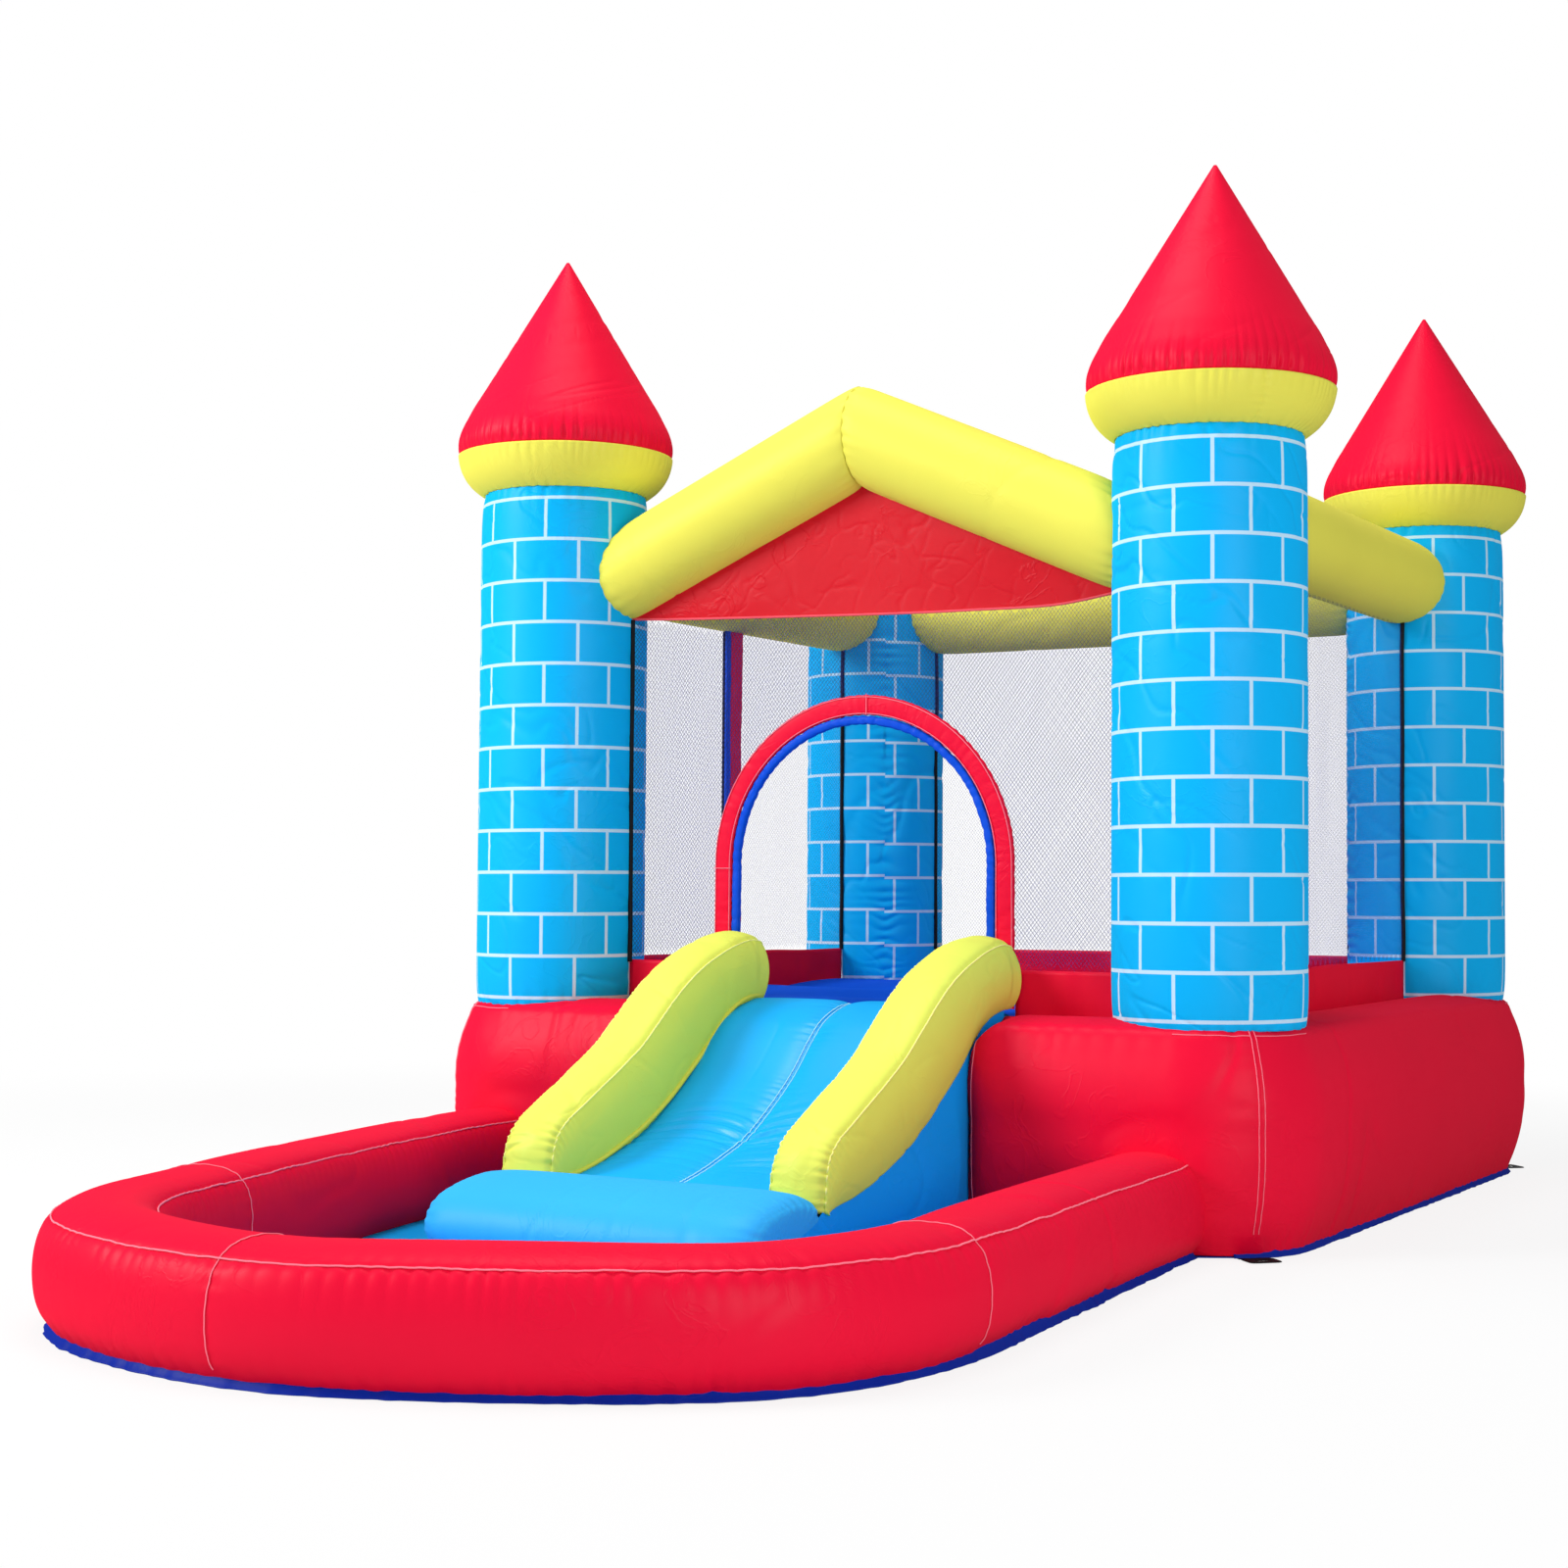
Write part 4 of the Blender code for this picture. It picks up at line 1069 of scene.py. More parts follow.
# %% [markdown]
# ## Side door post and skirts
# On the left side a red strap with a blue piping stands where the net door closes. Below all the nets a red skirt
# joins them to the base. The skirts are single sheets with soft waves.

# %% Sew the post, its piping and the skirts
def upright_band(y_low, y_high, thick, seed, drift):
    """A padded upright band in the left wall."""
    z = np.linspace(SKIRT_TOP - 0.002, NET_TOP - 0.002, 110)[:, None]
    half = (y_high - y_low) / 2
    reach, depth = band_section(half, thick, 24)
    sway = drift * (patchy(z / 0.22, 1.5, seed) + 0.5 * patchy(z / 0.08, 2.5, seed))
    grid = joined(-TOWER_X + depth[None, :] + 0.5 * sway, (y_low + y_high) / 2 + reach[None, :] + sway, z)
    return lift(grid, -pucker(half - np.abs(reach)[None, :], z, 0.002, 0.015, 0.04, seed + 2), wrap=True)


def make_skirt(name, node, start, end, seed):
    """A skirt from one (x, y) to another."""
    low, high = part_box(node)[0].z, SKIRT_TOP
    start, end = np.array(start), np.array(end)
    length = np.linalg.norm(end - start)
    along = (end - start) / length
    across = np.array([along[1], -along[0]])
    run, up = np.meshgrid(np.linspace(0, length, max(20, int(length / 0.012))), np.linspace(0, 1, 14))
    wave = 0.006 * patchy(run / 0.11, up * 0.7, seed) * np.sin(math.pi * np.clip(up, 0.1, 1.0))
    wave = (wave + 0.0015 * patchy(run / 0.03, up, seed + 1)) * rise(np.minimum(run, length - run), 0.04)
    spot = start + run[..., None] * along + wave[..., None] * across
    z = low + (high - low) * up + 0.003 * up * patchy(run / 0.2, 3.5, seed)
    piece = hem(sew(name, np.concatenate([spot, z[..., None]], axis=-1), RED_CLOTH, "red", [node]), 0.0016)


DOOR_EDGE = ARCH_RADIUS + 0.0003
sew_tube("door_strap", upright_band(POST_LOW, POST_HIGH, 0.010, 521, 0.004), RED_CLOTH, "red", "side_door_post")
sew_tube("door_blue_piping", upright_band(*depth_span("side_door_piping"), 0.014, 531, 0.003), PIPING_CLOTH, "trim",
         "side_door_piping")
for hand, start, end, seed in (("front_left", (-NET_REACH, 0.0), (-DOOR_EDGE, 0.0), 541),
                               ("front_right", (DOOR_EDGE, 0.0), (NET_REACH, 0.0), 544),
                               ("right", (TOWER_X, NEAR), (TOWER_X, FAR), 547),
                               ("back", (NET_REACH, TOWER_DEPTH), (-NET_REACH, TOWER_DEPTH), 551),
                               ("left", (-TOWER_X, FAR), (-TOWER_X, NEAR), 554)):
    make_skirt("skirt_cloth_" + hand, "skirt_" + hand, start, end, seed)
print("post, piping and five skirts")

# %% [markdown]
# ## Base
# The base is a ring of five wall panels. They bulge at mid height, lean in to the towers and tuck under the nets. Each
# panel is swept along the base's rounded plan, and the corner seams pull the cloth in.

# %% Sew the base walls
WALL_FOOT, WALL_BULGE, WALL_BULGE_Z = 0.200, 0.247, 0.245
WALL_BOW = -0.016
GROUND = 0.0045
SLIDE_HALF = 0.370
WALL_END = SLIDE_HALF + 0.0004
ARC_STEPS = 31


def wall_profile():
    stops = [(WALL_FOOT, GROUND), (WALL_BULGE, WALL_BULGE_Z), (TOWER_RADIUS, TOWER_LOW), (0.003, TOWER_LOW + 0.003)]
    lower, upper, top = [bowed(*pair, WALL_BOW, steps) for *pair, steps in zip(stops[:-1], stops[1:], (20, 20, 16))]
    return even(smooth_line(np.concatenate([lower[:-1:4], upper[:-1:4], top[::4]]), 8), 0.0095)


PROFILE = wall_profile()
CREST = int(np.argmin(np.hypot(PROFILE[:, 0] - TOWER_RADIUS, PROFILE[:, 1] - TOWER_LOW)))


def wall_way(turns, ends):
    """The way a wall runs: tower centres with the angle the wall faces."""
    way = [(*TOWERS[corner], math.radians(angle))
           for corner, start, stop in turns for angle in np.linspace(start, stop, ARC_STEPS)]
    facing_front = math.radians(270)
    if ends[0] is not None:
        way.insert(0, (ends[0], 0.0, facing_front))
    if ends[1] is not None:
        way.append((ends[1], 0.0, facing_front))
    return np.array(way)


def fill_way(way, step):
    """Adds stations where the way runs straight."""
    result = [way[0]]
    for before, after in zip(way[:-1], way[1:]):
        count = max(1, int(round(math.hypot(*(after[:2] - before[:2])) / step)))
        result += [before + (after - before) * i / count for i in range(1, count + 1)]
    return np.array(result)


def from_zip(grid):
    """How far a wall's points are from the deflation zip."""
    aside = np.maximum(np.abs(grid[..., 0] - middle("deflation_zip", 0)) - half_width("deflation_zip"), 0)
    above = np.maximum(np.abs(grid[..., 2] - middle("deflation_zip", 2)) - 0.02, 0)
    return np.hypot(aside, above)


def make_wall(name, node, turns, seed, ends):
    way = fill_way(wall_way(turns, ends), 0.0075)
    grid = swept(way[:, :2], joined(np.cos(way[:, 2]), np.sin(way[:, 2])), PROFILE)
    run = run_along(grid[:, len(PROFILE) // 3, :2])[:, None]
    up = run_along(PROFILE)[None, :]
    to_end = np.minimum(run, run[-1] - run)
    slide_ends = [away for end, away in zip(ends, (run, run[-1] - run)) if end is not None]
    change = pucker(up, run, 0.009, 0.040, 0.034, seed)
    change = change + pucker(np.abs(up - up[0, CREST]), run, 0.003, 0.03, 0.05, seed + 3)
    change = change + creases(run, up, 0.004, 0.22, seed + 9) + 0.004 * patchy(run / 0.5, up / 0.3, seed + 12)
    change = change + creases(up, run, 0.0025, 0.07, seed + 14) * np.exp(-to_end / 0.15)
    change = change * rise(to_end, 0.04) + pucker(to_end, up, 0.005, 0.035, 0.030, 599) - tuck(to_end, 0.001, 0.008)
    if node == "base_wall_back":
        change = change * rise(from_zip(grid), 0.08)
    for away in slide_ends:
        change = change - tuck(away, 0.045, 0.03) * np.sin(math.pi * rise(grid[..., 2], TOWER_LOW))
    grid = lift(grid, -change * rise(up, 0.03) * rise(up[0, -1] - up, 0.05))
    for away in slide_ends:
        near = 1 - rise(away, 0.085)
        forward = rise(-0.03 - grid[..., 1], 0.10)
        grid[..., 2] -= 0.085 * (1 - np.sqrt(1 - near ** 2)) * forward * rise(grid[..., 2], TOWER_LOW) ** 4
    grid[..., 2] = np.maximum(grid[..., 2], GROUND)
    sew(name, grid, RED_CLOTH, "red", [node])
    return grid


WALLS = {}
for hand, turns, ends in (("left", [("back_left", 135, 180), ("front_left", 180, 225)], (None, None)),
                          ("right", [("front_right", -45, 0), ("back_right", 0, 45)], (None, None)),
                          ("back", [("back_right", 45, 90), ("back_left", 90, 135)], (None, None)),
                          ("front_left", [("front_left", 225, 270)], (None, -WALL_END)),
                          ("front_right", [("front_right", 270, 315)], (WALL_END, None))):
    WALLS[hand] = make_wall("wall_cloth_" + hand, "base_wall_" + hand, turns, 601 + 20 * len(WALLS), ends)
print("base walls:", len(WALLS), "points", sum(grid.shape[0] * grid.shape[1] for grid in WALLS.values()))

# %% [markdown]
# Pale thread runs up both ends of every wall, a little further in beside the slide, and round the foot of each tower.

# %% Stitch the base
def stitch_walls():
    upright, round_towers = [], []
    for hand, grid in WALLS.items():
        skin = normals(grid)
        for row, arc, by_slide in ((1, slice(1, ARC_STEPS), "front_right"), (-2, slice(-ARC_STEPS, -1), "front_left")):
            upright.append(thread_line(grid, skin, 2 * row if hand == by_slide else row, slice(5, -14), -0.0006))
            if hand != by_slide:
                round_towers.append(thread_line(grid, skin, arc, CREST - 1, -0.0006))
    piping("wall_stitching", upright + round_towers, 0.0010, RED_THREAD, sides=5)


stitch_walls()
print("walls stitched")

# %% [markdown]
# The bounce floor is sewn in three channels, and two upright baffles inside hold its seams down.

# %% Lay the bounce floor and hang the baffles
CHANNELS = 3


def make_bounce_floor():
    reach = TOWER_X + 0.05
    x, share = np.meshgrid(np.linspace(-reach, reach, 110), np.linspace(0, 1, 120))
    y = 0.003 + (TOWER_DEPTH - 0.006) * share
    valley = np.abs(np.sin(math.pi * CHANNELS * share))
    z = TOWER_LOW + 0.003 + 0.014 * valley ** 0.8 + pucker(0.25 * valley, x, 0.006, 0.02, 0.05, 701)
    z = z + 0.002 * patchy(x / 0.3, y / 0.3, 702)
    under_tower = np.hypot(np.abs(x) - TOWER_X, np.minimum(y, TOWER_DEPTH - y)) < TOWER_RADIUS
    z = np.where(under_tower, np.minimum(z, TOWER_LOW + 0.001), z)
    x = np.clip(x, -TOWER_X + 0.003, TOWER_X - 0.003)
    piece = sew("bounce_bed", joined(x, y, z), FLOOR_CLOTH, "floor", ["bounce_floor"])


make_bounce_floor()
for index in (1, 2):
    node = f"floor_baffle_{index}"
    low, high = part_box(node)
    x, z = np.meshgrid(np.linspace(low.x, high.x, 60), np.linspace(low.z, high.z, 24))
    wave = 0.006 * patchy(x / 0.2, z / 0.15, 710 + index) * np.sin(math.pi * (z - low.z) / (high.z - low.z))
    grid = joined(x, middle(node, 1) - HOUSE_Y + wave, z)
    baffle = hem(sew(f"baffle_sheet_{index}", grid, FLOOR_CLOTH, "floor", [node]), 0.0012)
print("bounce floor and baffles")

# %% [markdown]
# ## Slide
# The ramp is two long cushions with a seam between them, and a round landing cushion ends it. Its side view is the
# ramp line, given here as in the solids.

# %% Sew the ramp
RAMP_LINE = [(-0.013, 0.434), (-0.014, 0.450), (-0.032, 0.461), (-0.090, 0.455), (-0.165, 0.428), (-0.220, 0.387),
             (-0.310, 0.307), (-0.460, 0.214), (-0.600, 0.165), (-0.720, 0.137), (-0.800, 0.124)]
RAIL_WIDTH = 0.112
RAMP_HALF = SLIDE_HALF - RAIL_WIDTH + 0.012
RAMP_TOP_HALF = SLIDE_HALF + 0.022
RAMP_BEND = 0.60  # how far down the ramp its cloth folds across
DRAW_IN = 0.012


def make_ramp():
    line = even(smooth_line(RAMP_LINE, 12), 0.0028)
    run = run_along(line)[:, None]
    t = np.linspace(-1, 1, 101)[None, :]
    wide = RAMP_HALF + (RAMP_TOP_HALF - RAMP_HALF) * np.exp(-(run / 0.040) ** 2)
    dip = DRAW_IN * (0.9 * np.exp(-np.abs(t / 0.06)) + 0.9 * t ** 6)
    bend = np.exp(-((run - RAMP_BEND) / 0.10) ** 2) * np.clip(0.75 + 0.5 * patchy(t * 2.2, run / 0.08, 723), 0.3, 1.2)
    bend = bend * (1 - np.exp(-np.abs(t) / 0.08))
    sag = 0.035 * (1 - (2 * np.abs(t) - 1) ** 2) + 0.02 * t
    change = DRAW_IN - dip + pucker(t * RAMP_HALF, run, 0.005, 0.022, 0.018, 721) * np.clip(np.abs(t) / 0.05, 0.15, 1)
    change = change + bend * pucker(0 * t, run + sag, 0.017, 1.0, 0.036, 724)
    change = change + bend * pucker(0 * t, run + 1.3 * sag, 0.006, 1.0, 0.021, 725)
    change = change + creases(t * RAMP_HALF, run, 0.0022, 0.14, 727)
    grid = lift(joined(t * wide, line[:, :1], line[:, 1:]), -change)
    piece = sew("ramp_cloth", grid, SLIDE_CLOTH, "slide", ["slide_ramp"])
    seam = grid.shape[1] // 2
    threads = [grid[16:-6, column] + (0.0, 0.0, 0.0010) for column in (seam - 1, seam + 1)]
    piping("ramp_stitching", threads, 0.0012, BLUE_THREAD, sides=5)
    print("ramp", grid.shape)


make_ramp()

# %% Sew the landing cushion and the slide's sides
TOE_BACK, TOE_FRONT, TOE_HEIGHT = -0.800, -1.085, 0.152
TOE_MIDDLE = (TOE_BACK + TOE_FRONT) / 2
TOE_LINE = [(TOE_BACK, 0.120), (TOE_BACK - 0.022, 0.146), (TOE_MIDDLE + 0.03, TOE_HEIGHT + 0.007),
            (TOE_FRONT + 0.045, 0.86 * TOE_HEIGHT), (TOE_FRONT, 0.45 * TOE_HEIGHT), (TOE_FRONT + 0.030, GROUND + 0.003)]
TOE_CAP = ((0.96, 0.006), (0.86, 0.009), (0.65, 0.011), (0.35, 0.012), (0.02, 0.012))
SIDE_LINE = RAMP_LINE[2:] + [(TOE_BACK - 0.030, 0.112), (TOE_BACK - 0.080, 0.104), (-0.940, 0.088),
                             (TOE_FRONT + 0.055, 0.035)]


def make_toe():
    line = even(smooth_line(TOE_LINE, 14), 0.006)
    half = SLIDE_HALF - 0.004
    x = half * np.sin(np.linspace(-math.pi / 2, math.pi / 2, 190))[None, :]
    run = run_along(line)[:, None]
    to_end = half - np.abs(x)
    change = 0.006 * (1 - np.exp(-to_end / 0.05)) - tuck(to_end, 0.003, 0.012)
    change = change + pucker(to_end, run, 0.007, 0.030, 0.026, 731)
    change = change + pucker(run[-1] - run, x, 0.009, 0.034, 0.034, 734)
    change = change + pucker(run, x, 0.006, 0.02, 0.04, 737) - tuck(run, 0.004, 0.012)
    change = change + creases(x, run, 0.0025, 0.20, 739)
    grid = lift(joined(x, line[:, :1], line[:, 1:]), -change)
    heart = np.array([TOE_MIDDLE, TOE_HEIGHT / 2])
    grid[..., 1:] = heart + (grid[..., 1:] - heart) * (1 - tuck(to_end, 0.14, 0.022))[..., None]
    ends = {}
    for column, side in ((0, -1), (-1, 1)):
        edge = grid[:, column]
        ends[side] = [np.concatenate([edge[:, :1] + side * out, heart + (edge[:, 1:] - heart) * share], axis=1)
                      for share, out in TOE_CAP]
    grid = np.concatenate([np.stack(ends[-1][::-1], axis=1), grid, np.stack(ends[1], axis=1)], axis=1)
    grid[..., 2] = np.maximum(grid[..., 2], GROUND + 0.001)
    # The cushion's paler blue is a painted sheen of the light from above.
    piece = sew("landing_cushion", grid, LANDING_CLOTH_PAINTED_SHEEN, "slide", ["slide_toe"])


def make_slide_side(hand, side):
    """The slide's upright side, bulged a little by the air behind it."""
    top = even(smooth_line(SIDE_LINE, 10), 0.008)
    share = np.linspace(0, 1, 36)[None, :]
    y, z = top[:, :1], GROUND + (top[:, 1:] - GROUND) * share
    bulge = np.sin(math.pi * share) * np.clip((top[:, 1:] - 0.05) / 0.3, 0.1, 1) * 0.022
    bulge = bulge + pucker(z - GROUND, y, 0.006, 0.04, 0.04, 741 + side) + creases(y, z, 0.003, 0.14, 745 + side)
    x = SLIDE_HALF - 0.001 + bulge * rise(np.minimum(-0.2 - y, y - TOE_FRONT - 0.1), 0.08)
    x = x + 0.006 * rise(TOE_BACK - 0.02 - y, 0.05)
    # The sides' darker blue is painted shade.
    sew("slide_cheek_" + hand, joined(side * x, y, z), SIDE_CLOTH_PAINTED_SHADE, "slide", ["slide_side_" + hand])


make_toe()
for hand, side in HANDS.items():
    make_slide_side(hand, side)
print("landing and two sides")

# %% [markdown]
# Each rail is two side panels with a long strip sewn between them. The strip runs along the top, turns over the front
# and ends on the landing, so the seams on its edges turn with it. Each section below joins a point of the rail's foot
# to the point of the strip's edge above it.

# %% Sew the rails
RAIL_EDGE = [(-0.0065, 0.592), (-0.022, 0.602), (-0.060, 0.604), (-0.130, 0.590), (-0.190, 0.571), (-0.250, 0.548),
             (-0.310, 0.517), (-0.370, 0.477), (-0.430, 0.432), (-0.490, 0.388), (-0.560, 0.350), (-0.630, 0.315),
             (-0.700, 0.280), (-0.755, 0.252), (-0.787, 0.225), (-0.803, 0.195), (-0.809, 0.160), (-0.811, 0.125)]
RAIL_FOOT = [(-0.0065, 0.464), (-0.020, 0.4635), (-0.050, 0.462), (-0.095, 0.453), (-0.135, 0.437), (-0.170, 0.416),
             (-0.205, 0.388), (-0.250, 0.350), (-0.315, 0.305), (-0.385, 0.258), (-0.470, 0.212), (-0.560, 0.176),
             (-0.640, 0.150), (-0.700, 0.136), (-0.740, 0.130), (-0.765, 0.126), (-0.782, 0.122), (-0.795, 0.118)]
RAIL_BACK = -0.0065
RAIL_MIDDLE, RAIL_HALF = 0.313, 0.063
RAIL_TALL = 0.13
SEAM_ACROSS = 0.985


def rail_section():
    """Across and up shares round a rail, from its inner foot over the strip to its outer foot, and its seam columns."""
    seam = (SEAM_ACROSS, 0.99)
    inner = smooth_line([(-0.96, 0.0), (-1.09, 0.28), (-1.13, 0.66), (-seam[0], seam[1])], 12)
    strip = smooth_line([(-seam[0], seam[1]), (-0.68, 1.075), (0.0, 1.13), (0.68, 1.075), seam], 10)
    outer = smooth_line([seam, (1.20, 0.62), (1.17, 0.28), (0.96, 0.0)], 12)
    return np.concatenate([inner[:-1], strip[:-1], outer]), (len(inner) - 1, len(inner) + len(strip) - 2)


def rail_grid(edge, foot, section, side):
    """A rail without its folds."""
    reach, height = section[:, 0], section[:, 1]
    plump = np.clip(np.linalg.norm(edge - foot, axis=1)[:, None] / RAIL_TALL, 0.15, 1)
    plump = plump * np.clip((RAIL_BACK - edge[:, :1]) / 0.05, 0.6, 1)
    across = np.sign(reach) * np.minimum(np.abs(reach), SEAM_ACROSS)
    across = across + (reach - across) * plump
    up = np.minimum(height, 1.0)[None, :, None]
    way = headings(edge)
    outward = -left_of(way)
    outward = np.where((outward * (edge - foot)).sum(axis=1, keepdims=True) < 0, -outward, outward)
    over = np.where(height > 1, height - 1, 0.0) * RAIL_TALL
    spot = foot[:, None, :] * (1 - up) + edge[:, None, :] * up + outward[:, None, :] * over[None, :, None]
    swell = np.sign(reach) * np.sin(math.pi * np.clip(height, 0, 1)) ** 0.6 * (np.abs(reach) > 0.98)
    x = side * (RAIL_MIDDLE + RAIL_HALF * across + tuck(run_along(edge)[:, None], 0.014, 0.06) * swell)
    return joined(x, np.minimum(spot[..., 0], RAIL_BACK), np.maximum(spot[..., 1], GROUND))


def make_rail(hand, side):
    edge, foot = smooth_line(RAIL_EDGE, 12), smooth_line(RAIL_FOOT, 12)
    section, seams = rail_section()
    grid = rail_grid(edge, foot, section, side)
    run = run_along(edge)[:, None]
    girth = lengths(grid, 1).mean(axis=0)[None, :]
    from_seam = np.minimum(np.abs(girth - girth[0, seams[0]]), np.abs(girth - girth[0, seams[1]]))
    front = rise(run - run[-1] + 0.20, 0.08)
    change = pucker(from_seam, run, 0.0045, 0.016, 0.013, 751 + side)
    change = change + front * pucker(from_seam, run, 0.010, 0.024, 0.019, 753 + side)
    change = change - tuck(from_seam, 0.0022, 0.006) + creases(run, girth, 0.0030, 0.12, 762 + side)
    change = change + creases(girth, run, 0.0015, 0.05, 764 + side)
    grid = lift(grid, -side * change * rise(run, 0.03))
    heart = grid[0].mean(axis=0)
    opening = np.array([heart + (grid[0] - heart) * share for share in (0.05, 0.5, 0.9)])
    front_sole, sole = grid[-1] - (0.0, 0.0, 0.005), grid[-1].copy()
    sole[:, 1:] = foot[-1] - (0.0, 0.006)
    whole = np.concatenate([opening, grid, front_sole[None], sole[None]])
    piece = sew_tube("rail_cushion_" + hand, whole, RAIL_CLOTH, "rail", "slide_rail_" + hand)
    skin = -side * normals(grid)
    threads = [thread_line(grid, skin, slice(2, None), column, 0.0008) for column in seams]
    piping("rail_stitching_" + hand, threads, 0.0016, YELLOW_THREAD, sides=6)
    welt = joined(side * (RAIL_MIDDLE - 1.01 * RAIL_HALF), foot[:, 0], foot[:, 1] + 0.014)
    piping("rail_welt_" + hand, [even(welt[3:-20], 0.008)], 0.0055, YELLOW_CLOTH, sides=8)


for hand, side in HANDS.items():
    make_rail(hand, side)
print("rails: 2")

# %% [markdown]
# ## Splash pool
# The pool's rim is a fat tube in four lengths. It is nearly square, with a seam along each upper edge, and the cloth
# below the outer seam is gathered. The centre line is the same as in the solids.

# %% Sew the pool's rim
RIM_HALF, RIM_HEIGHT = 0.108, 0.208
LINE_STEPS, SECTION_STEPS = 40, 8
SEAM_EDGE_STEP = 0.009
POOL_POINTS = {"right": [(TOWER_X - 0.051, -0.100), (TOWER_X - 0.018, -0.500), (0.850, -1.100), (0.868, -1.360)],
               "front_right": [(0.868, -1.360), (0.845, -1.560), (0.740, -1.755), (0.450, -1.945), (0.120, -2.045)],
               "front_left": [(0.120, -2.045), (-0.260, -1.960), (-0.480, -1.735), (-0.575, -1.450)],
               "left": [(-0.575, -1.450), (-0.720, -0.915), (0.013 - TOWER_X, -0.500), (-TOWER_X - 0.027, -0.100)]}
RIM_SHARES = [(0.74, 0.0), (0.99, 0.20), (1.06, 0.47), (0.985, 0.72), (0.80, 0.885), (0.44, 0.975), (0.0, 1.0),
              (-0.42, 0.975), (-0.76, 0.89), (-0.91, 0.72), (-0.95, 0.48), (-0.88, 0.22), (-0.70, 0.02)]
RIM_SEAMS = (4 * SECTION_STEPS, 8 * SECTION_STEPS)


def pool_way():
    """The rim's centre line, the length up to each of its points and where each length of rim ends."""
    points, stops = [POOL_POINTS["right"][0]], [0]
    for line in POOL_POINTS.values():
        points += line[1:]
        stops.append(len(points) - 1)
    fine = smooth_line(points, LINE_STEPS)
    run = run_along(fine)
    return fine, run, [run[stop * LINE_STEPS] for stop in stops]


POOL_LINE, POOL_RUN, RIM_MARKS = pool_way()
RIM_SECTION = smooth_line([(reach * RIM_HALF, GROUND + share * (RIM_HEIGHT - GROUND)) for reach, share in RIM_SHARES],
                          SECTION_STEPS)


def rim_folds(along, girth, to_sewn_end):
    from_outer = girth[0, RIM_SEAMS[0]] - girth
    from_inner = girth - girth[0, RIM_SEAMS[1]]
    change = pucker(from_outer, along, 0.0065, 0.032, 0.027, 801) * np.where(from_outer > 0, 1.0, 0.3)
    change = change + pucker(from_inner, along, 0.007, 0.030, 0.026, 804) * np.where(from_inner > 0, 1.0, 0.35)
    change = change + pucker(girth, along, 0.006, 0.034, 0.034, 807) * rise(girth, 0.02)
    change = change - tuck(np.abs(from_outer), 0.0025, 0.007) - tuck(np.abs(from_inner), 0.0025, 0.007)
    change = change + pucker(to_sewn_end, girth, 0.0025, 0.022, 0.026, 810) - tuck(to_sewn_end, 0.0008, 0.007)
    return change + creases(along, girth, 0.005, 0.2, 813) + 0.003 * patchy(along / 0.4, girth / 0.3, 816)


def make_rim():
    girth = run_along(RIM_SECTION)[None, :]
    seam_lines, rings = ([], []), []
    for index, name in enumerate(POOL_POINTS):
        start, stop = RIM_MARKS[index:index + 2]
        at = np.linspace(start, stop, int((stop - start) / 0.004))
        before, after = [points_at(POOL_LINE, POOL_RUN, at + step) for step in (-0.03, 0.03)]
        grid = swept(points_at(POOL_LINE, POOL_RUN, at), left_of(unit(after - before)), RIM_SECTION)
        along = at[:, None]
        to_start, to_stop = along - start, stop - along
        to_sewn_end = {"right": to_stop, "left": to_start}.get(name, np.minimum(to_start, to_stop))
        grid = lift(grid, rim_folds(along, girth, to_sewn_end))
        grid[..., 2] = np.maximum(grid[..., 2], GROUND)
        sew("rim_cloth_" + name, grid, RED_CLOTH, "red", ["pool_rim_" + name])
        skin = normals(grid)
        for line, column in zip(seam_lines, RIM_SEAMS):
            line.append(grid[:, column] + skin[:, column] * 0.0016)
        if index:
            rings.append(thread_line(grid, skin, 1, slice(4, -4), 0.0012))
    seam_lines = [even(np.concatenate(line), SEAM_EDGE_STEP) for line in seam_lines]
    for k, line in enumerate(seam_lines):
        line[:, 2] += 0.0018 * patchy(np.arange(len(line)) * SEAM_EDGE_STEP / 0.05, 0.5, 880 + k)
    piping("rim_seam_edges", seam_lines, 0.0015, RED_THREAD, sides=6)
    piping("rim_ring_seams", rings, 0.0011, RED_THREAD, sides=5)


make_rim()
print("rim lengths end at", [round(float(mark), 3) for mark in RIM_MARKS])

# %% [markdown]
# ## Pool floor and ground sheet
# A light blue sheet closes the pool. Under everything lies the dark blue ground sheet, whose edge is gathered into a
# ruffle that shows all round the base and the pool.

# %% Lay the pool floor
def make_pool_floor():
    line = points_at(POOL_LINE, POOL_RUN, np.linspace(0.02, POOL_RUN[-1] - 0.02, 260))
    edge = line - left_of(headings(line)) * 0.070
    edge[:, 1] = np.minimum(edge[:, 1], -WALL_FOOT)
    tip = int(np.argmin(edge[:, 1]))
    y = -WALL_FOOT + (edge[tip, 1] + WALL_FOOT) * np.sin(np.linspace(0, math.pi / 2, 150))
    halves = sorted((edge[:tip + 1], edge[tip:]), key=lambda half: half[:, 0].mean())
    orders = [np.argsort(half[:, 1]) for half in halves]
    left, right = [np.interp(y, half[order, 1], half[order, 0])[:, None] for half, order in zip(halves, orders)]
    share = np.linspace(0, 1, 110)[None, :]
    x = left * (1 - share) + right * share
    y = y[:, None]
    wave = 0.002 + 0.0018 * patchy(x / 0.12, y / 0.12, 901) + 0.001 * patchy(x / 0.04, y / 0.04, 902)
    grid = joined(x, y, GROUND + np.maximum(wave, 0.0))
    piece = sew("pool_bed", grid, SLIDE_CLOTH, "slide", ["pool_floor"])


make_pool_floor()

# %% Lay the ground sheet and its ruffle
RUFFLE_STEP = 0.007
RUFFLE_HEIGHTS = (0.018, 0.025)  # round the pool, round the base
SHEET_LEVELS = (0.0003, 0.0025)


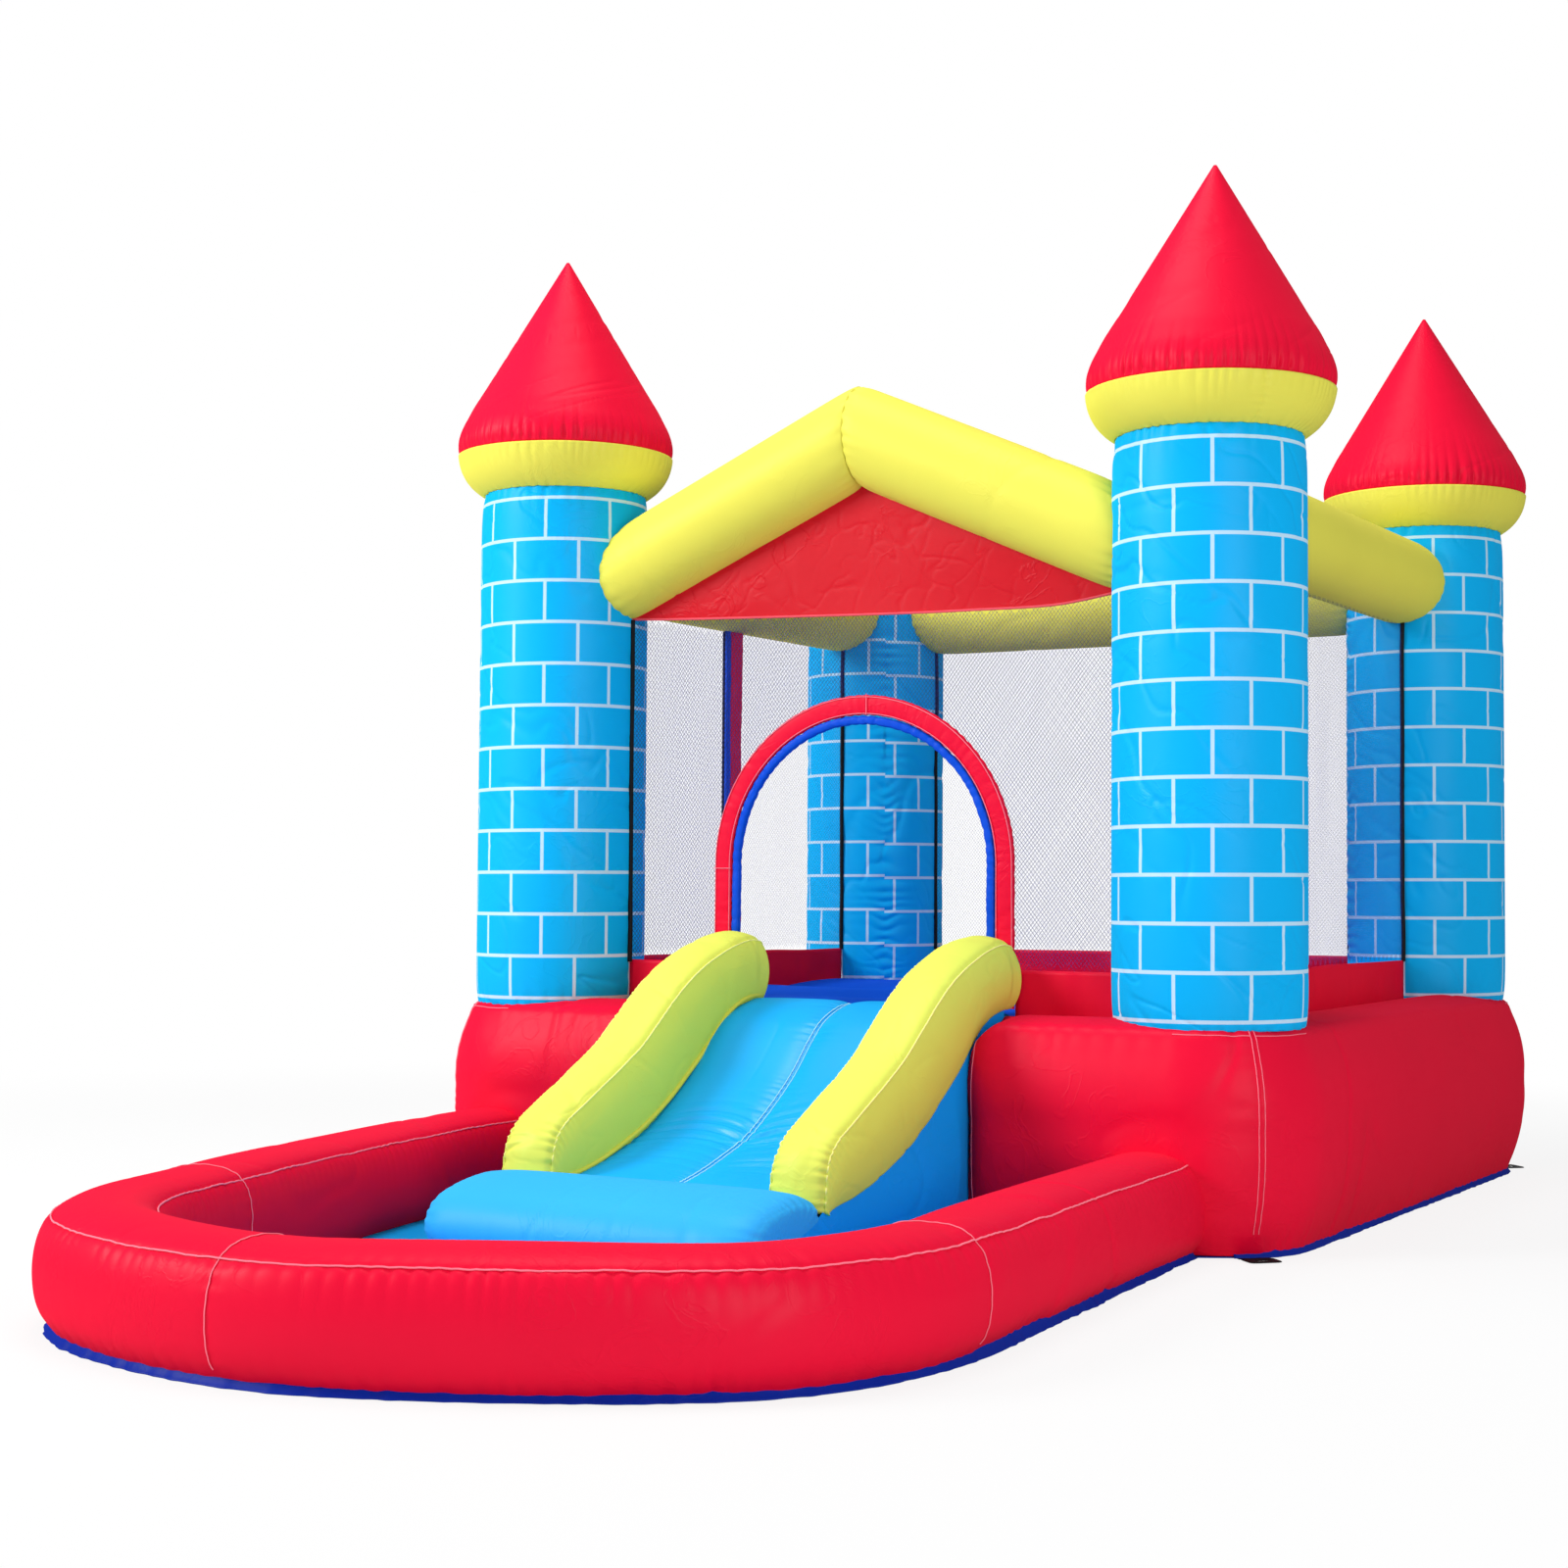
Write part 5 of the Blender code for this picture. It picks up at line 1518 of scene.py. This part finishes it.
def outline_way():
    """The ground sheet's edge: round the pool, then round the back of the base."""
    line = points_at(POOL_LINE, POOL_RUN, np.linspace(0.0, POOL_RUN[-1], 420))
    pool = line + left_of(headings(line)) * (0.78 * RIM_HALF)
    base = []
    for corner, start, stop in (("front_left", 236, 180), ("back_left", 180, 90), ("back_right", 90, 0),
                                ("front_right", 0, -56)):
        x, y = TOWERS[corner]
        for angle in np.radians(np.linspace(start, stop, 14)):
            base.append((x + WALL_FOOT * math.cos(angle), y + WALL_FOOT * math.sin(angle)))
    return [even(pool[pool[:, 1] < -WALL_FOOT], RUFFLE_STEP), even(base, RUFFLE_STEP)]


def make_ruffle(outline):
    grids = []
    down = np.linspace(0, 1, 9)[None, :]
    for index, line in enumerate(outline):
        run = (np.arange(len(line)) * RUFFLE_STEP)[:, None]
        fold = patchy(run / 0.020, 0.5, 911 + index) + 0.7 * patchy(run / 0.055, 1.5, 913 + index)
        flare = -0.004 + 0.013 * down ** 1.4 + 0.0035 * down * fold
        height = RUFFLE_HEIGHTS[index] * (1 - down) + 0.0020 * fold * (1 - down)
        spot = line[:, None, :] + left_of(headings(line))[:, None, :] * flare[..., None]
        grids.append(np.concatenate([spot, np.maximum(height, 0.0006)[..., None]], axis=-1))
    ruffle = add_piece("ground_ruffle", cloth_mesh("ground_ruffle", grids), TRIM_CLOTH, "house", ())
    return hem(ruffle, 0.0012)


def make_ground_sheet():
    outline = outline_way()
    ruffle = make_ruffle(outline)
    plan = np.concatenate(outline)
    count = len(plan)
    points = np.array([(x, y, level) for level in SHEET_LEVELS for x, y in plan])
    faces = [list(range(count))[::-1], list(range(count, 2 * count))]
    faces += [[i, (i + 1) % count, count + (i + 1) % count, count + i] for i in range(count)]
    uv = points[np.concatenate(faces)][:, :2] + (0.0, HOUSE_Y)
    sheet = bare_mesh("ground_cloth", points, faces, uv)
    piece = add_piece("ground_cloth", sheet, TRIM_CLOTH, "house", ["ground_sheet"])


make_ground_sheet()

# %% [markdown]
# ## Works at the back and the corners
# Air comes in through a sleeve that is tied with a strap, and leaves through a zip. Black webbing tabs at the corners
# take the stakes. None of these is large, but each is a piece that a user handles.

# %% Sew the inlet sleeve and its strap
INLET_X, INLET_RADIUS = 0.450, 0.105
INLET_Z = INLET_RADIUS + 0.0073


def sleeve_grid(radius, y, lowest):
    """A round sleeve along y that droops a little towards its open end and lies on the ground."""
    low, high = depth_span("inlet_sleeve")
    turn = full_turn(96)[None, :]
    z = INLET_Z + radius * np.sin(turn) * (1 - 0.03 * (y - low) / (high - low))
    return joined(INLET_X + radius * np.cos(turn), y, np.maximum(z, lowest))


def make_inlet():
    low, high = depth_span("inlet_sleeve")
    strap_low, strap_high = depth_span("inlet_strap")
    y = np.linspace(low, high, 70)[:, None]
    arc = full_turn(96)[None, :] * INLET_RADIUS
    from_strap = np.abs(y - (strap_low + strap_high) / 2)
    loose = np.clip(from_strap / 0.03, 0.05, 1)
    radius = INLET_RADIUS + 0.002 - tuck(from_strap, 0.004, 0.02)
    radius = radius + loose * pucker(from_strap, arc, 0.012, 0.05, 0.045, 921)
    radius = radius + pucker(y - low, arc, 0.006, 0.03, 0.04, 924) + 0.003 * loose * patchy(arc / 0.1, y / 0.1, 927)
    sleeve = sew("air_sleeve", sleeve_grid(radius, y, 0.005), RED_CLOTH, "red", ["inlet_sleeve"], wrap=True)
    hem(sleeve, 0.0012, -1.0)
    clasp = INLET_RADIUS + 0.0014 + 0.0012 * np.cos(np.linspace(-1.2, 1.2, 8))[:, None]
    ring = sleeve_grid(clasp, np.linspace(strap_low, strap_high, 8)[:, None], 0.004)
    hem(sew("tie_strap", ring, BLACK_TAPE, "webbing", ["inlet_strap"], wrap=True), 0.0014, 1.0)


make_inlet()
print("inlet at", INLET_X, round(INLET_Z, 3))

# %% Finishes for the zip and the webbing
def zip_metal(name, tone):
    finish, start = new_finish(name)
    brushed, worn = noise(start, 260.0, 2.0), noise(start, 60.0, 3.0)
    surface(start, start.node("ShaderNodeBsdfPrincipled", {}, {
        "Base Color": worn.mix(shade(tone, 0.8), shade(tone, 1.1)), "Metallic": 0.9,
        "Roughness": brushed * 0.2 + 0.3, "Normal": bump(start, 0.2, 0.0002, brushed)}))
    return finish


def ribbed_webbing(name, tone):
    finish, start = new_finish(name)
    place = start.node("ShaderNodeTexCoord", out="Object")
    ribs = start.node("ShaderNodeTexWave", {"wave_type": "BANDS", "bands_direction": "DIAGONAL"},
                      {"Vector": place, "Scale": 130.0, "Distortion": 0.6})
    fuzz = noise(start, 400.0, 2.0)
    surface(start, start.node("ShaderNodeBsdfPrincipled", {}, {
        "Base Color": (ribs * 0.6 + fuzz * 0.4).mix(shade(tone, 0.6), shade(tone, 1.5)),
        "Roughness": fuzz * 0.2 + 0.6, "Normal": bump(start, 0.6, 0.0006, ribs), "Specular IOR Level": 0.1}))
    return finish


ZIP_METAL = zip_metal("zip_metal", colour(120, 122, 126))
ZIP_NYLON = coated_cloth("zip_nylon", colour(30, 30, 34), roughness=0.35, crease=0.0)
WEBBING = ribbed_webbing("black_webbing", colour(14, 14, 16))
print("finishes:", len(bpy.data.materials))

# %% Sew the deflation zip and its slider
TOOTH_STEP, TOOTH_HALF, TOOTH_RADIUS = 0.004, 0.003, 0.0011


def make_zip():
    low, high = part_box("deflation_zip")
    base_y, mid_z = low.y - HOUSE_Y, (low.z + high.z) / 2
    x, up = np.meshgrid(np.linspace(low.x, high.x, 60), np.linspace(-1, 1, 16))
    z = mid_z + (high.z - low.z) / 2 * up
    y = base_y + 0.001 + 0.0012 * (1 - np.abs(up) ** 2) + 0.0006 * patchy(x / 0.05, up, 931)
    hem(sew("zip_tape", joined(x, y, z), BLACK_TAPE, "webbing", ["deflation_zip"]), 0.0010)
    teeth = []
    for i, spot in enumerate(np.arange(low.x + 0.006, high.x - 0.006, TOOTH_STEP)):
        level = mid_z + (0.0012 if i % 2 else -0.0012)
        teeth.append([(spot, base_y + out, level + rise_z)
                      for out, rise_z in ((0.0030, -TOOTH_HALF), (0.0034, 0.0), (0.0030, TOOTH_HALF))])
    piping("zip_teeth", teeth, TOOTH_RADIUS, ZIP_NYLON)


def make_slider():
    """The slider's body is a small rounded block with a pull hanging from its bridge."""
    low, high = (np.array(corner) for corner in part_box("zip_slider"))
    centre, size = (low + high) / 2 - (0, HOUSE_Y, 0), (high - low) / 2
    turn = full_turn(40)
    waist = 1 - 0.22 * np.exp(-(np.cos(turn) / 0.35) ** 2)
    rows = []
    for depth, share in ((-1.0, 0.55), (-0.9, 0.85), (-0.5, 0.97), (0.3, 1.0), (0.75, 0.9), (1.0, 0.6)):
        across = squared(np.cos(turn), 0.6) * size[0] * share
        upward = squared(np.sin(turn), 0.6) * size[2] * share * waist
        rows.append(centre + joined(across, depth * size[1], upward))
    sew_tube("slider_body", np.array(rows), ZIP_METAL, "webbing", "zip_slider", body="zip_pull")
    loop = np.linspace(0, 2 * math.pi, 40)
    hang = joined(0.0035 * np.sin(loop), size[1] + 0.0012, 0.010 * np.cos(loop) - 0.011)
    piping("slider_pull", [centre + hang], 0.0010, ZIP_METAL, body="zip_pull", sides=8)


make_zip()
make_slider()
print("zip and slider")

# %% [markdown]
# Each tab is a doubled strip of webbing with a slot for the stake, made as a flat ring swept round the slot. Its sewn
# end is a thin strip that stays on the house when the tab folds up.

# %% Sew the anchor tabs
TAB_REACH = 0.2143
TAB_LONG, TAB_WIDE = 0.055, 0.070
SLOT_AT, SLOT_LONG, SLOT_WIDE = 0.033, 0.012, 0.030
TAB_RING = ((0.0, 0.0008), (0.0, 0.0019), (0.06, 0.0025), (0.5, 0.0026), (0.94, 0.0025), (1.0, 0.0019), (1.0, 0.0008),
            (0.94, 0.0002), (0.5, 0.0001), (0.06, 0.0002), (0.0, 0.0008))


def rounded(middle_at, long, wide):
    turn = full_turn(72)
    return joined(middle_at + long / 2 * squared(np.cos(turn), 0.35), wide / 2 * squared(np.sin(turn), 0.35))


def webbing_tab(corner, sign_x, sign_y):
    facing = math.atan2(sign_y, sign_x)
    ahead = np.array([math.cos(facing), math.sin(facing)])
    base = np.array(TOWERS[corner]) + TAB_REACH * ahead

    def place(along, across, level):
        x = base[0] + along * ahead[0] - across * ahead[1]
        y = base[1] + along * ahead[1] + across * ahead[0]
        return joined(x, y, level)

    edge, hole = rounded(TAB_LONG / 2, TAB_LONG, TAB_WIDE), rounded(SLOT_AT, SLOT_LONG, SLOT_WIDE)
    ring = np.array([place(*(edge * (1 - share) + hole * share).T, level) for share, level in TAB_RING])
    sew("webbing_tab_" + corner, ring, WEBBING, "webbing", ["anchor_tab_" + corner], wrap=True, body="tab_" + corner)
    along, across = np.meshgrid(np.linspace(-0.020, -0.0004, 8), np.linspace(-0.034, 0.034, 12))
    hem(sew("webbing_root_" + corner, place(along, across, 0.0003), WEBBING, "webbing"), 0.0003)


for depth_name, sign_y in (("front_", -1), ("back_", 1)):
    for hand, sign_x in HANDS.items():
        webbing_tab(depth_name + hand, sign_x, sign_y)
print("anchor tabs: 4")
